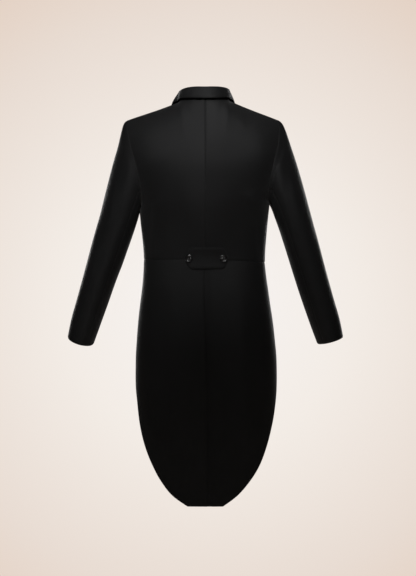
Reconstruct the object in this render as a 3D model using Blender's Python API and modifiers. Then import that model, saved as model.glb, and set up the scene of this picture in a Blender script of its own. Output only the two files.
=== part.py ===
"""White tie tailcoat, filled out as when worn and open at the front.

The coat faces +Y, so its back looks along -Y, and +X is the wearer's right.
The origin is at the middle of the neck, level with the neck point of the shoulders.
Sizes are in millimetres; "drop" is the distance down from the origin's level.
Angles of the body sections start at the centre back and run round to the front.
"""
import math

import bpy
import numpy as np
from mathutils import Vector

MM = 0.001

# Driving sizes
CLOTH = 1.8
DOUBLE_CLOTH = 2.4
COLLAR_CLOTH = 2.0
SEAM = 0.3
LAY = 0.5
SEAM_STRIP = 3.0
HEM_DROP = 1090.0
WAIST_DROP_BACK = 423.0
WAIST_DROP_SIDE = {-1: 419.0, 1: 428.0}
WAIST_DROP_FRONT = 441.0
NECK_BACK = (0.0, -70.0, 20.5)
NECK_POINT = {-1: (76.0, -4.0, 15.0), 1: (69.0, -4.0, 18.5)}
SHOULDER_TIP = {-1: (214.0, -6.0, -34.0), 1: (201.0, -6.0, -34.0)}
CORNER_DROP_BACK = 250.0
PITCH_DROP_BACK = 135.0
PITCH_DROP_FRONT = 140.0
VENT_UNDERLAP = 22.0
VENT_RAMP = 18.0
VENT_EDGE = 4.0
UNDERLAP_COLUMNS = [-1.0, -0.7, -0.45, -0.3, -0.15]
TAIL_ROWS = 19
TAIL_STRIP = 0.0045
TAIL_CROWDING = 1.5
SIDE_NAME = {-1: "left", 1: "right"}

COLLECTION = "white_tie_tailcoat"


def curve(stations, values):
    """Smooth curve through a table, with the mean slope of its neighbours at each station."""
    s = np.asarray(stations, float)
    v = np.asarray(values, float)
    slopes = np.gradient(v, s, axis=0)

    def at(t):
        t = min(max(t, s[0]), s[-1])
        i = min(max(int(np.searchsorted(s, t)) - 1, 0), len(s) - 2)
        h = s[i + 1] - s[i]
        f = (t - s[i]) / h
        start = (1 + 2 * f) * (1 - f) ** 2 * v[i] + f * (1 - f) ** 2 * h * slopes[i]
        end = f * f * (3 - 2 * f) * v[i + 1] + f * f * (f - 1) * h * slopes[i + 1]
        return start + end

    return at


def blend(a, b, f):
    return a + (b - a) * f


def ease(f):
    f = min(max(f, 0.0), 1.0)
    return f * f * (3 - 2 * f)


def unit(vector):
    return vector / np.linalg.norm(vector)


# Level sections of the body: drop, left half width, right half width, back depth, front depth
BODY = np.array([
    (100, 190.0, 186.0, 109.0, 96.0),
    (160, 188.0, 183.0, 117.0, 112.0),
    (220, 186.0, 181.0, 114.0, 119.0),
    (284, 183.0, 176.0, 107.0, 120.0),
    (328, 179.3, 171.2, 99.0, 117.0),
    (372, 174.6, 167.1, 91.0, 113.0),
    (417, 171.5, 165.1, 87.5, 110.0),
    (439, 171.5, 165.9, 90.0, 110.0),
    (506, 176.5, 174.3, 104.0, 115.0),
    (550, 182.1, 179.9, 113.0, 120.0),
    (595, 186.8, 186.3, 120.0, 124.0),
    (639, 190.2, 190.7, 125.0, 126.0),
    (684, 193.2, 195.2, 127.0, 127.0),
    (728, 194.3, 197.1, 127.5, 127.0),
    (800, 195.0, 197.5, 126.0, 126.0),
    (900, 195.0, 197.5, 123.5, 125.0),
    (1000, 195.0, 197.5, 121.0, 125.0),
    (1100, 195.0, 197.5, 119.0, 125.0),
])
HALF_WIDTH = {-1: curve(BODY[:, 0], BODY[:, 1]), 1: curve(BODY[:, 0], BODY[:, 2])}
BACK_DEPTH = curve(BODY[:, 0], BODY[:, 3])
FRONT_DEPTH = curve(BODY[:, 0], BODY[:, 4])

# How square a section is: drop, exponent of its superellipse (2 is an ellipse)
SQUARENESS = curve((100, 226, 284, 420, 560, 1100), (3.0, 3.1, 2.5, 2.35, 2.3, 2.3))

# Front edge, which is the roll line above the break: drop, distance from the middle
FRONT_EDGE = curve((0, 140, 250, 340, 441), (71.0, 66.0, 59.0, 54.0, 52.0))

# Armhole: degrees round from the shoulder tip by way of the back, then out, y, drop
ARMHOLE = {
    -1: np.array([
        (0, 214.0, -6.0, 34.0),
        (30, 214.5, -33.0, 71.0),
        (60, 205.2, -56.0, 114.0),
        (90, 191.0, -72.0, 163.0),
        (120, 178.5, -66.0, 226.0),
        (150, 177.0, -40.0, 270.0),
        (180, 182.5, 0.0, 285.0),
        (210, 175.0, 40.0, 270.0),
        (240, 165.0, 65.0, 226.0),
        (270, 170.0, 72.0, 166.0),
        (300, 187.0, 57.0, 112.0),
        (330, 205.0, 31.0, 66.0),
        (360, 214.0, -6.0, 34.0),
    ]),
    1: np.array([
        (0, 201.0, -6.0, 34.0),
        (30, 204.5, -33.0, 73.0),
        (60, 198.0, -56.0, 118.0),
        (90, 186.5, -72.0, 163.0),
        (120, 176.0, -66.0, 222.0),
        (150, 173.0, -40.0, 256.0),
        (180, 177.5, 0.0, 267.0),
        (210, 170.0, 40.0, 256.0),
        (240, 160.0, 65.0, 218.0),
        (270, 165.0, 72.0, 163.0),
        (300, 179.0, 57.0, 112.0),
        (330, 193.0, 31.0, 66.0),
        (360, 201.0, -6.0, 34.0),
    ]),
}

# Front edge of each tail, as the angle it has reached: drop, left angle, right angle
TAIL_EDGE = np.array([
    (424, 133.0, 133.0),
    (440, 130.5, 130.5),
    (470, 125.5, 125.5),
    (520, 119.5, 119.5),
    (600, 110.0, 110.0),
    (700, 97.0, 98.0),
    (770, 82.5, 86.0),
    (814, 72.8, 75.7),
    (858, 67.0, 67.8),
    (900, 60.4, 60.4),
    (942, 52.9, 53.2),
    (984, 44.8, 45.5),
    (1026, 36.0, 35.5),
    (1067, 24.5, 23.3),
    (1090, 14.2, 13.8),
])
TAIL_ANGLE = {
    -1: curve(TAIL_EDGE[:, 0], TAIL_EDGE[:, 1]),
    1: curve(TAIL_EDGE[:, 0], TAIL_EDGE[:, 2]),
}

# Line of the centre vent: drop, x
VENT_LINE = curve((423, 500, 600, 700, 900, 1090), (-1.5, -3.0, 0.5, 3.0, 4.5, 5.0))

# Outer outline of the sleeves seen from behind: drop, left and right distance from the middle
SLEEVE_OUTER = np.array([
    (34, 214.0, 201.0),
    (42, 225.5, 212.1),
    (50, 228.8, 217.1),
    (61, 231.9, 221.6),
    (83, 237.4, 229.6),
    (106, 243.0, 237.1),
    (150, 255.5, 251.6),
    (195, 267.4, 265.2),
    (284, 290.3, 290.2),
    (372, 315.2, 314.2),
    (461, 339.4, 338.7),
    (550, 364.6, 364.0),
    (617, 383.2, 382.8),
    (640, 387.2, 386.4),
    (670, 394.0, 393.0),
])

# Inner outline of the sleeves, next to the body: drop, left and right distance from the middle
SLEEVE_INNER = np.array([
    (266, 185.0, 181.0),
    (284, 185.6, 187.2),
    (306, 187.6, 193.8),
    (328, 193.9, 201.7),
    (372, 208.3, 216.1),
    (417, 224.4, 230.5),
    (461, 241.6, 244.6),
    (506, 258.4, 259.1),
    (550, 274.5, 274.0),
    (595, 290.5, 289.9),
    (640, 307.1, 307.1),
    (680, 322.0, 322.5),
])
OUTER_X = {side: curve(SLEEVE_OUTER[:, 0], SLEEVE_OUTER[:, column]) for side, column in ((-1, 1), (1, 2))}
INNER_X = {side: curve(SLEEVE_INNER[:, 0], SLEEVE_INNER[:, column]) for side, column in ((-1, 1), (1, 2))}

# Sleeve rings: outer drop, inner drop left, inner drop right, half depth, middle y, share of armhole form
SLEEVE_RINGS = np.array([
    (44, 284.5, 267, 73.5, 0.0, 0.97),
    (56, 287, 271, 74.0, 0.0, 0.90),
    (76, 292, 278, 74.0, 0.5, 0.78),
    (108, 300, 289, 73.0, 1.0, 0.60),
    (146, 310, 301, 71.5, 2.0, 0.42),
    (190, 324, 317, 70.0, 3.0, 0.26),
    (238, 342, 337, 68.0, 5.0, 0.13),
    (288, 364, 361, 66.0, 7.0, 0.05),
    (338, 391, 390, 63.5, 9.0, 0.0),
    (388, 424, 424, 61.0, 11.5, 0.0),
    (438, 464, 465, 58.5, 14.5, 0.0),
    (488, 512, 512, 56.0, 18.5, 0.0),
    (538, 561, 561, 53.0, 23.5, 0.0),
    (588, 609, 609, 50.0, 29.0, 0.0),
    (636, 656, 656, 47.5, 34.0, 0.0),
])
CUFF_SLANT = {-1: 12.0, 1: 5.0}
CUFF_SLANT_LENGTH = 120.0
SLEEVE_CLEARANCE = 3.0
SLEEVE_GAP = 0.7
UNDER_STRIP = 0.4
SLEEVE_DRAWN_IN = 0.009
SLEEVE_DRAWN_ROWS = 8
SLEEVE_SEAM_GAP = 0.4
SLEEVE_SEAM_STRIP = 2.4
ARMHOLE_HALF_DEPTH = 73.0
CAP_SLOPE = 0.36
CAP_TURN = 0.25
HINDARM_ANGLE = 126.0
FOREARM_ANGLE = 234.0
ARMHOLE_STEP = 18.0
CAP_STEPS = 6

# Collar stand: place round the neck (0 centre back, 1 neck point, 3 gorge), lean inwards, height
COLLAR_STAND = np.array([
    (0.0, 3.5, 29.0),
    (0.4, 4.5, 31.0),
    (0.75, 8.0, 33.5),
    (1.0, 12.0, 34.5),
    (1.5, 7.0, 25.0),
    (2.0, 3.0, 14.0),
    (3.0, 0.0, 4.5),
])

# Edge of the collar fall on the back and on the front: place, u left, u right, v, height off the panel
FALL_ON_BACK = np.array([
    (0.0, 0.00, 0.00, 2.955, 10.0),
    (0.4, 0.16, 0.15, 2.950, 9.0),
    (0.75, 0.31, 0.29, 2.960, 7.0),
    (1.0, 0.42, 0.39, 3.000, 4.4),
])
FALL_ON_FRONT = np.array([
    (1.0, 0.121, 0.076, 3.000, 4.4),
    (1.5, 0.160, 0.130, 2.880, 4.2),
    (2.0, 0.210, 0.195, 2.720, 4.0),
    (3.0, 0.270, 0.270, 2.465, 4.0),
])
COLLAR_INWARDS = 3.0
INWARDS_FROM = 0.8
INWARDS_OVER = 0.33
COLLAR_STRIP = 0.015
COLLAR_STRIP_PLACE = 2.93
COLLAR_ROLL = 4.0
NECK_MIDDLE_Y = 20.0
COLLAR_PLACES = [
    0.0, 0.2, 0.4, 0.6, 0.8, 1.0, 1.15, 1.3, 1.45, 1.6, 1.8, 2.0, 2.2, 2.4, 2.6, 2.8,
    COLLAR_STRIP_PLACE, 3.0,
]

# Points across the end of the collar: share of its width, height off the front, inwards of its edge
COLLAR_END = (
    (0.0, 0.6, 3.4),
    (0.0, 2.4, 3.8),
    (0.0, 4.2, 3.8),
    (0.0, 5.6, 2.6),
    (0.04, 6.2, 0.4),
    (0.14, 6.2, 0.0),
    (0.42, 5.0, 0.0),
    (0.72, 4.2, 0.0),
    (1.0, 3.9, 0.0),
)

# Lapel: rows of the front at the break, the gorge, the notch and the peak, and width by height
BREAK_ROW = 0.54
GORGE_ROW = 2.60
NOTCH_ROW = 2.455
PEAK_ROW = 2.568
NOTCH_SHARE = 0.42
GORGE_GAP = 0.010
COLLAR_END_ROW = GORGE_ROW + GORGE_GAP
LAPEL_HEIGHT = 3.0
LAPEL_ROLL = 2.5
LAPEL_ROLL_RUN = 0.25
LAPEL_ROLL_SHARE = 0.5
LAPEL_ROWS = 16
LAPEL_COLUMNS = (0.0, 0.04, 0.12, 0.26, NOTCH_SHARE, 0.6, 0.8, 1.0)
LAPEL_WIDTH = curve((0, 0.08, 0.3, 0.6, 0.85, 1.0), (3.0, 11.0, 33.0, 58.0, 75.0, 85.0))

# Half belt outline: x, half height
HALF_BELT = np.array([
    (-57.2, 5.0),
    (-54.0, 11.0),
    (-38.0, 29.0),
    (-24.0, 29.3),
    (-8.0, 29.4),
    (8.0, 29.4),
    (24.0, 29.3),
    (36.0, 29.2),
    (47.5, 29.0),
    (58.5, 11.0),
    (61.5, 5.0),
])
HALF_BELT_DROP = 419.5
BELT_LAY = 1.0
BELT_ROWS = (-1.0, -0.9, -0.3, 0.3, 0.9, 1.0)
BELT_BUTTON_X = {-1: 44.4, 1: 48.2}
BELT_BUTTON_DROP = 420.5
BUTTON_RADIUS = 10.0
BUTTON_HEIGHT = 4.5
BUTTON_STEPS = 18

# Front buttons: drop, distance from the middle
FRONT_BUTTONS = ((292.0, 96.0), (342.0, 89.0), (392.0, 82.0))


def section_point(side, drop, angle):
    """Point on the level body section at a drop, in the section's own x and y."""
    power = SQUARENESS(drop)
    s = math.sin(angle)
    c = math.cos(angle)
    reach = (abs(s) ** power + abs(c) ** power) ** (-1 / power)
    depth = BACK_DEPTH(drop) if c > 0 else FRONT_DEPTH(drop)
    return np.array([side * HALF_WIDTH[side](drop) * s * reach, -depth * c * reach, -drop])


def angle_at_y(y, drop):
    """Angle at which the section at a drop has this y."""
    power = SQUARENESS(drop)
    depth = BACK_DEPTH(drop) if y <= 0 else FRONT_DEPTH(drop)
    part = min(abs(y) / depth, 1.0)
    across = (1 - part ** power) ** (1 / power)
    angle = math.atan2(across, part)
    return angle if y <= 0 else math.pi - angle


def angle_at_x(x, side, drop, front=False):
    """Angle at which the section at a drop is this far from the middle."""
    power = SQUARENESS(drop)
    part = min(abs(x) / HALF_WIDTH[side](drop), 1.0)
    angle = math.atan2(part, (1 - part ** power) ** (1 / power))
    return math.pi - angle if front else angle


def closed_curve(rows):
    """Smooth closed curve through rows whose first column is degrees, from 0 to 360."""
    before = rows[-2] - np.array([360.0, 0.0, 0.0, 0.0])
    after = rows[1] + np.array([360.0, 0.0, 0.0, 0.0])
    whole = np.vstack([before, rows, after])
    return curve(whole[:, 0], whole[:, 1:])


ARMHOLE_CURVE = {side: closed_curve(rows) for side, rows in ARMHOLE.items()}


def armhole_point(side, degrees):
    out, y, drop = ARMHOLE_CURVE[side](degrees)
    return np.array([side * out, y, -drop])


WAIST_DIP_PACE = 1.3
CHEST_PACE = 1.5
SHOULDER_HOLLOW = 3.0


def waist_drop(side, angle):
    """Drop of the waist seam: it dips a little from the back round to the front."""
    at_side = WAIST_DROP_SIDE[side]
    quarter = math.pi / 2
    if angle <= quarter:
        return blend(WAIST_DROP_BACK, at_side, angle / quarter)
    return blend(at_side, WAIST_DROP_FRONT, ease((angle - quarter) / quarter * WAIST_DIP_PACE))


def shoulder_point(side, f):
    """Point on the shoulder seam, from the neck point to the tip; it hollows a little near the neck."""
    neck = np.array(NECK_POINT[side])
    tip = np.array(SHOULDER_TIP[side])
    point = blend(neck, tip, f)
    point[2] -= SHOULDER_HOLLOW * math.sin(math.pi * f) * (1 - f)
    point[0] *= side
    return point


def hermite(p0, m0, p1, m1, f):
    """Cubic between two points with given slopes."""
    a = (1 + 2 * f) * (1 - f) ** 2 * p0 + f * (1 - f) ** 2 * m0
    return a + f * f * (3 - 2 * f) * p1 + f * f * (f - 1) * m1


# Direction and pace at which the cloth crosses the shoulder seam, from the back forward
OVER_SHOULDER = np.array([0.0, 180.0, 0.0])

# Small shares of a panel over which its slope is taken
RISE_STEP = 0.02
SLOPE_STEP = 0.01


# Back panel

BACK_NECK_SHARE = 0.34
UP_TO_NECK = np.array([0.0, 62.0, 142.0])
LEVEL_SHARE = 0.3


def back_top(side, u):
    """Top edge of the back: half the back neck, then the shoulder seam."""
    if u >= BACK_NECK_SHARE:
        return shoulder_point(side, (u - BACK_NECK_SHARE) / (1 - BACK_NECK_SHARE))
    turn = u / BACK_NECK_SHARE * math.pi / 2
    neck = NECK_POINT[side]
    x = side * neck[0] * math.sin(turn)
    y = neck[1] + (NECK_BACK[1] - neck[1]) * math.cos(turn)
    return np.array([x, y, blend(neck[2], NECK_BACK[2], math.cos(turn))])


# Rounding of the corner at the neck point for the cloth below it: its reach, where it comes in from
# the centre and from the armhole, how quickly the true corner fades below the edge, and its samples
CORNER_REACH = 0.3
CORNER_FROM_CENTRE = 0.3
CORNER_FROM_ARMHOLE = 0.5
CORNER_FADE = 5
CORNER_SAMPLES = np.linspace(-1, 1, 9)


def rounded_back_top(side, u):
    """Top edge of the back with its corner at the neck point rounded off."""
    reach = CORNER_REACH * min(1.0, u / CORNER_FROM_CENTRE, (1 - u) / CORNER_FROM_ARMHOLE)
    return sum(back_top(side, u + reach * t) for t in CORNER_SAMPLES) / len(CORNER_SAMPLES)


def back_row(side, u, v):
    """Rows of the back: v 0 to 1 from waist to underarm, 1 to 2 up to the back pitch."""
    quarter = math.pi / 2
    under = -armhole_point(side, 180)[2]
    if v <= 1:
        seam_angle = quarter * u
        start = blend(WAIST_DROP_BACK, CORNER_DROP_BACK, v)
        waist = waist_drop(side, seam_angle)
        end = blend(WAIST_DROP_SIDE[side], under, v)
        tilt = blend(u, ease(u), ease(v * CHEST_PACE))
        drop = blend(start, end, tilt) if v > 0 else waist
        return section_point(side, drop, seam_angle)
    end = armhole_point(side, 180 - 90 * (v - 1))
    start = blend(CORNER_DROP_BACK, PITCH_DROP_BACK, v - 1)
    drop = blend(start, -end[2], ease(u))
    last = angle_at_y(end[1], -end[2])
    full = section_point(side, -end[2], last)[0]
    point = section_point(side, drop, last * u)
    point[0] *= blend(1.0, end[0] / full, u * u)
    return point


def back_point(side, u, v):
    """Point on the back panel: u from the centre back out, v from the waist (0) to the top (3)."""
    if v <= 2:
        return back_row(side, u, v)
    f = v - 2
    first = back_row(side, u, 2.0)
    rise = (first - back_row(side, u, 2.0 - RISE_STEP)) / RISE_STEP
    last = rounded_back_top(side, min(max(u, 0.0), 1.0))
    level = blend(UP_TO_NECK, OVER_SHOULDER, ease(u / LEVEL_SHARE))
    point = hermite(first, rise, last, level, f) + (back_top(side, u) - last) * f ** CORNER_FADE
    edge_first = back_row(side, 1.0, 2.0)
    edge_rise = (edge_first - back_row(side, 1.0, 2.0 - RISE_STEP)) / RISE_STEP
    edge = hermite(edge_first, edge_rise, back_top(side, 1.0), OVER_SHOULDER, f)
    return point + u ** 4 * (armhole_point(side, 90 * (1 - f)) - edge)


# Front panel

# Direction and pace at which the front edge runs back and up to the neck point, and how far out it tells
NECKLINE = np.array([0.0, -150.0, 65.0])
NECKLINE_SHARE = 0.3
NECKLINE_SEAM = 0.8


def front_row(side, u, v):
    """Rows of the front: v 0 to 1 from waist to underarm, 1 to 2 up to the front pitch."""
    quarter = math.pi / 2
    under = -armhole_point(side, 180)[2]
    if v <= 1:
        start = blend(WAIST_DROP_FRONT, CORNER_DROP_BACK, v)
        end = blend(WAIST_DROP_SIDE[side], under, v)
        edge_angle = angle_at_x(FRONT_EDGE(start), side, start, front=True)
        angle = blend(edge_angle, quarter, u)
        drop = blend(start, end, blend(u, ease(u), ease(v * CHEST_PACE)))
        if v == 0:
            drop = waist_drop(side, angle)
        return section_point(side, drop, angle)
    end = armhole_point(side, 180 + 90 * (v - 1))
    start = blend(CORNER_DROP_BACK, PITCH_DROP_FRONT, v - 1)
    drop = blend(start, -end[2], ease(u))
    last = angle_at_y(end[1], -end[2])
    full = section_point(side, -end[2], last)[0]
    edge_angle = angle_at_x(FRONT_EDGE(start), side, start, front=True)
    point = section_point(side, drop, blend(edge_angle, last, u))
    point[0] *= blend(1.0, end[0] / full, u * u)
    return point


def front_point(side, u, v):
    """Point on the front panel: u from the front edge out, v from the waist (0) to the top (3)."""
    if v <= 2:
        return front_row(side, u, v)
    f = v - 2
    first = front_row(side, u, 2.0)
    rise = (first - front_row(side, u, 2.0 - RISE_STEP)) / RISE_STEP
    last = shoulder_point(side, u)
    level = blend(NECKLINE, -OVER_SHOULDER, ease(u / NECKLINE_SHARE))
    point = hermite(first, rise, last, level, f)
    edge_first = front_row(side, 1.0, 2.0)
    edge_rise = (edge_first - front_row(side, 1.0, 2.0 - RISE_STEP)) / RISE_STEP
    edge = hermite(edge_first, edge_rise, shoulder_point(side, 1.0), -OVER_SHOULDER, f)
    return point + u ** 4 * (armhole_point(side, 270 + 90 * f) - edge)


# Tails

def tail_point(side, u, v):
    """Point on a tail: u from the vent (0) to the front edge (1), v from the waist seam to the hem.

    The right tail's underlap is u from -1 (its hidden edge) to 0.
    """
    guess = blend(WAIST_DROP_BACK, HEM_DROP, v)
    last = math.radians(TAIL_ANGLE[side](guess))
    vent_x = VENT_LINE(guess)
    near = VENT_RAMP if side > 0 else -SEAM / 2
    x = vent_x + near + (min(u, 0.0) * (VENT_RAMP + VENT_UNDERLAP))
    start = angle_at_x(x, side, guess) * side * math.copysign(1, x)
    angle = blend(start, last, max(u, 0.0))
    top = waist_drop(side, max(angle, 0.0)) + SEAM
    point = section_point(side, blend(top, HEM_DROP, v), angle)
    if side > 0:
        tuck = 1 - ease((point[0] - vent_x - VENT_EDGE) / (VENT_RAMP - VENT_EDGE))
        point[1] += tuck * (CLOTH + LAY + SEAM)
    return point


# Sleeves

def armhole_ellipse(side, angle):
    """The plain ellipse from which the armhole's own form differs."""
    outer = armhole_point(side, 0)
    inner = armhole_point(side, 180)
    middle = (outer + inner) / 2
    arm = (outer - inner) / 2
    return middle + arm * math.cos(angle) + np.array([0.0, -ARMHOLE_HALF_DEPTH * math.sin(angle), 0.0])


def sleeve_ring(side, row, angle):
    """Point on one ring of a sleeve, angle from the outer line round by way of the back."""
    outer_drop, inner_left, inner_right, half_depth, middle_y, share = SLEEVE_RINGS[row]
    inner_drop = inner_left if side < 0 else inner_right
    outer = np.array([side * OUTER_X[side](outer_drop), middle_y, -outer_drop])
    inner = np.array([side * INNER_X[side](inner_drop), middle_y, -inner_drop])
    middle = (outer + inner) / 2
    arm = (outer - inner) / 2
    point = middle + arm * math.cos(angle) - np.array([0.0, half_depth * math.sin(angle), 0.0])
    own = armhole_point(side, math.degrees(angle) % 360) - armhole_ellipse(side, angle)
    point = point + share * own
    to_cuff = SLEEVE_RINGS[-1][0] - outer_drop
    point[2] -= CUFF_SLANT[side] * math.sin(angle) * ease(1 - to_cuff / CUFF_SLANT_LENGTH)
    return point


def clear_of_body(side, point):
    """Move a sleeve point outwards, where it must, so that it hangs just clear of the body."""
    drop = -point[2]
    depth = BACK_DEPTH(drop) if point[1] < 0 else FRONT_DEPTH(drop)
    part = min(abs(point[1]) / depth, 1.0)
    power = SQUARENESS(drop)
    half = HALF_WIDTH[side](drop) * (1 - part ** power) ** (1 / power)
    point[0] = side * max(abs(point[0]), half + SLEEVE_CLEARANCE)
    return point


def sleeve_start(side, angle, reach):
    """Point just past the armhole seam, in the direction in which the cloth crosses it."""
    seam = armhole_point(side, math.degrees(angle) % 360)
    under = ((1 - math.cos(angle)) / 2) ** 2
    over_top = unit(np.array([side, CAP_TURN * math.sin(angle), -CAP_SLOPE * math.cos(angle / 2) ** 2]))
    out = unit(blend(over_top, np.array([side, 0.0, 0.0]), under))
    return seam + reach * out


def sleeve_rows(side, angles):
    """Rows of points down one piece of a sleeve; it is drawn in a little where the seam bends most."""
    middle = (angles[0] + angles[-1]) / 2
    near = [blend(a, middle, SLEEVE_DRAWN_IN) for a in angles]
    rows = [[sleeve_start(side, a, SLEEVE_GAP) for a in near]]
    strip = [SLEEVE_GAP + SEAM_STRIP * blend(UNDER_STRIP, 1.0, (1 + math.cos(a)) / 2) for a in near]
    rows.append([sleeve_start(side, a, reach) for a, reach in zip(near, strip)])
    for row in range(len(SLEEVE_RINGS)):
        drawn_in = SLEEVE_DRAWN_IN * ease(1 - row / SLEEVE_DRAWN_ROWS)
        at = [blend(a, middle, drawn_in) for a in angles]
        rows.append([clear_of_body(side, sleeve_ring(side, row, a)) for a in at])
    return rows


# Building helpers

def clear_scene():
    for obj in list(bpy.data.objects):
        bpy.data.objects.remove(obj, do_unlink=True)


def new_collection(name):
    group = bpy.data.collections.new(name)
    bpy.context.scene.collection.children.link(group)
    return group


def new_material(name, colour, roughness, metallic=0.0):
    material = bpy.data.materials.new(name)
    material.use_nodes = True
    shader = material.node_tree.nodes["Principled BSDF"]
    shader.inputs["Base Color"].default_value = (*colour, 1.0)
    shader.inputs["Roughness"].default_value = roughness
    shader.inputs["Metallic"].default_value = metallic
    return material


def cloth_piece(group, name, rows, wall, material, flip):
    """One piece of cloth: an open grid whose points are its face side, given a wall inwards."""
    grid = np.array(rows) * MM
    down, across = grid.shape[:2]
    faces = []
    for i in range(down - 1):
        for j in range(across - 1):
            a = i * across + j
            quad = (a, a + 1, a + across + 1, a + across)
            faces.append(quad[::-1] if flip else quad)
    mesh = bpy.data.meshes.new(name)
    mesh.from_pydata(grid.reshape(-1, 3).tolist(), [], faces)
    mesh.shade_smooth()
    mesh.materials.append(material)
    obj = bpy.data.objects.new(name, mesh)
    group.objects.link(obj)
    solid = obj.modifiers.new("Wall", "SOLIDIFY")
    solid.thickness = wall * MM
    solid.offset = -1.0
    return obj


def shares(count, length, first=True, last=True):
    """Even shares from 0 to 1, with a narrow strip beside each seam so the walls meet square."""
    strip = SEAM_STRIP / length
    lower = strip if first else 0.0
    upper = 1 - strip if last else 1.0
    inner = list(np.linspace(lower, upper, count + 1))
    return ([0.0] if first else []) + inner + ([1.0] if last else [])


# Pieces

# Grid steps along each panel edge, and the edge's length, by which the strip beside a seam is set
BODY_STEPS = 6
PANEL_LENGTH = 150.0
NECK_STEPS = 4
NECK_LENGTH = 100.0
SHOULDER_STEPS = 7
SHOULDER_LENGTH = 140.0
FRONT_STEPS = 10
FRONT_WIDTH = 150.0
TAIL_STEPS = 11
TAIL_WIDTH = 300.0

BODY_ROWS = shares(BODY_STEPS, PANEL_LENGTH, last=False)[:-1]
BODY_ROWS += list(np.arange(1.0, 2.0, ARMHOLE_STEP / 90))
BODY_ROWS += [2 + f for f in shares(CAP_STEPS, PANEL_LENGTH, first=False)]


def build_back(group, side, material):
    neck = [BACK_NECK_SHARE * f for f in shares(NECK_STEPS, NECK_LENGTH, last=False)]
    along_seam = shares(SHOULDER_STEPS, SHOULDER_LENGTH, first=False)
    shoulder = [blend(BACK_NECK_SHARE, 1.0, f) for f in along_seam]
    us = neck[:-1] + shoulder
    rows = []
    for v in BODY_ROWS:
        row = [back_point(side, u, v) for u in us]
        row[0][0] = side * SEAM / 2
        if v <= 1:
            row[-1][1] = -SEAM / 2
        if v == BODY_ROWS[-1]:
            for point in row[len(neck) - 1:]:
                point[1] -= SEAM
        rows.append(row)
    return cloth_piece(group, f"back_{SIDE_NAME[side]}", rows, CLOTH, material, side < 0)


def build_front(group, side, material):
    us = shares(FRONT_STEPS, FRONT_WIDTH, first=False)
    rows = []
    for v in BODY_ROWS:
        row = [front_point(side, u, v) for u in us]
        if v <= 1:
            row[-1][1] = SEAM / 2
        if v == BODY_ROWS[-1]:
            for u, point in zip(us, row):
                point[1] += SEAM + NECKLINE_SEAM * (1 - ease(u / NECKLINE_SHARE))
        rows.append(row)
    return cloth_piece(group, f"front_{SIDE_NAME[side]}", rows, CLOTH, material, side > 0)


def build_tail(group, side, material):
    us = shares(TAIL_STEPS, TAIL_WIDTH, last=False)
    if side > 0:
        us = UNDERLAP_COLUMNS + us
    down = [1 - (1 - f) ** TAIL_CROWDING for f in np.linspace(0, 1, TAIL_ROWS)]
    vs = [0.0] + [blend(TAIL_STRIP, 1.0, f) for f in down]
    rows = [[tail_point(side, u, v) for u in us] for v in vs]
    return cloth_piece(group, f"tail_{SIDE_NAME[side]}", rows, CLOTH, material, side > 0)


def build_sleeve(group, side, material):
    """Top sleeve and under sleeve, parted along the hindarm and forearm seams.

    Their columns stand at the same places on the armhole as the rows of the body panels.
    """
    gap = SLEEVE_SEAM_GAP
    strip = SLEEVE_SEAM_STRIP
    cap = [90 * (1 - f) for f in np.linspace(0, 1, CAP_STEPS + 1)]
    back = [HINDARM_ANGLE - gap, HINDARM_ANGLE - strip]
    back += list(np.arange(HINDARM_ANGLE - ARMHOLE_STEP, 91, -ARMHOLE_STEP))
    half = back + cap
    top_angles = [-a for a in half] + half[::-1][1:]
    inner = list(np.arange(HINDARM_ANGLE + ARMHOLE_STEP, FOREARM_ANGLE - 1, ARMHOLE_STEP))
    under_angles = [HINDARM_ANGLE + gap, HINDARM_ANGLE + strip] + inner
    under_angles += [FOREARM_ANGLE - strip, FOREARM_ANGLE - gap]
    name = SIDE_NAME[side]
    for piece, angles in (("top", top_angles), ("under", under_angles)):
        rows = sleeve_rows(side, [math.radians(a) for a in angles])
        cloth_piece(group, f"{piece}_sleeve_{name}", rows, CLOTH, material, side < 0)


def moved_out(place, side, u, v, reach):
    """Point on a panel moved off its face."""
    here = place(side, u, v)
    along = place(side, u + SLOPE_STEP, v) - place(side, u - SLOPE_STEP, v)
    up = here - place(side, u, v - SLOPE_STEP)
    normal = unit(np.cross(along, up)) * side * (1 if place is back_point else -1)
    return here + normal * reach


HALVINGS = 20


def front_at_width(side, v, width):
    """The u on the front panel that lies this far from its front edge."""
    edge = front_point(side, 0.0, v)
    low, high = 0.0, 1.0
    for _ in range(HALVINGS):
        u = (low + high) / 2
        if np.linalg.norm(front_point(side, u, v) - edge) < width:
            low = u
        else:
            high = u
    return u


def lapel_place(side, s, w):
    """Place on the front panel under the lapel: s up from the break, w out from the roll line."""
    if w < NOTCH_SHARE:
        top = blend(GORGE_ROW, NOTCH_ROW, w / NOTCH_SHARE)
    else:
        top = blend(NOTCH_ROW, PEAK_ROW, (w - NOTCH_SHARE) / (1 - NOTCH_SHARE))
    v = blend(BREAK_ROW, top, s)
    return front_at_width(side, v, w * float(LAPEL_WIDTH(s))), v


def build_lapel(group, side, material):
    """The turned back facing: it lies on the front and rolls at its front edge."""
    rows = []
    for s in np.linspace(0, 1, LAPEL_ROWS):
        row = []
        for w in LAPEL_COLUMNS:
            u, v = lapel_place(side, s, w)
            roll = LAPEL_ROLL * ease(s / LAPEL_ROLL_RUN) * ease(1 - w / LAPEL_ROLL_SHARE)
            row.append(moved_out(front_point, side, u, v, LAPEL_HEIGHT + roll))
        rows.append(row)
    return cloth_piece(group, f"lapel_{SIDE_NAME[side]}", rows, CLOTH, material, side > 0)


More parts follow.
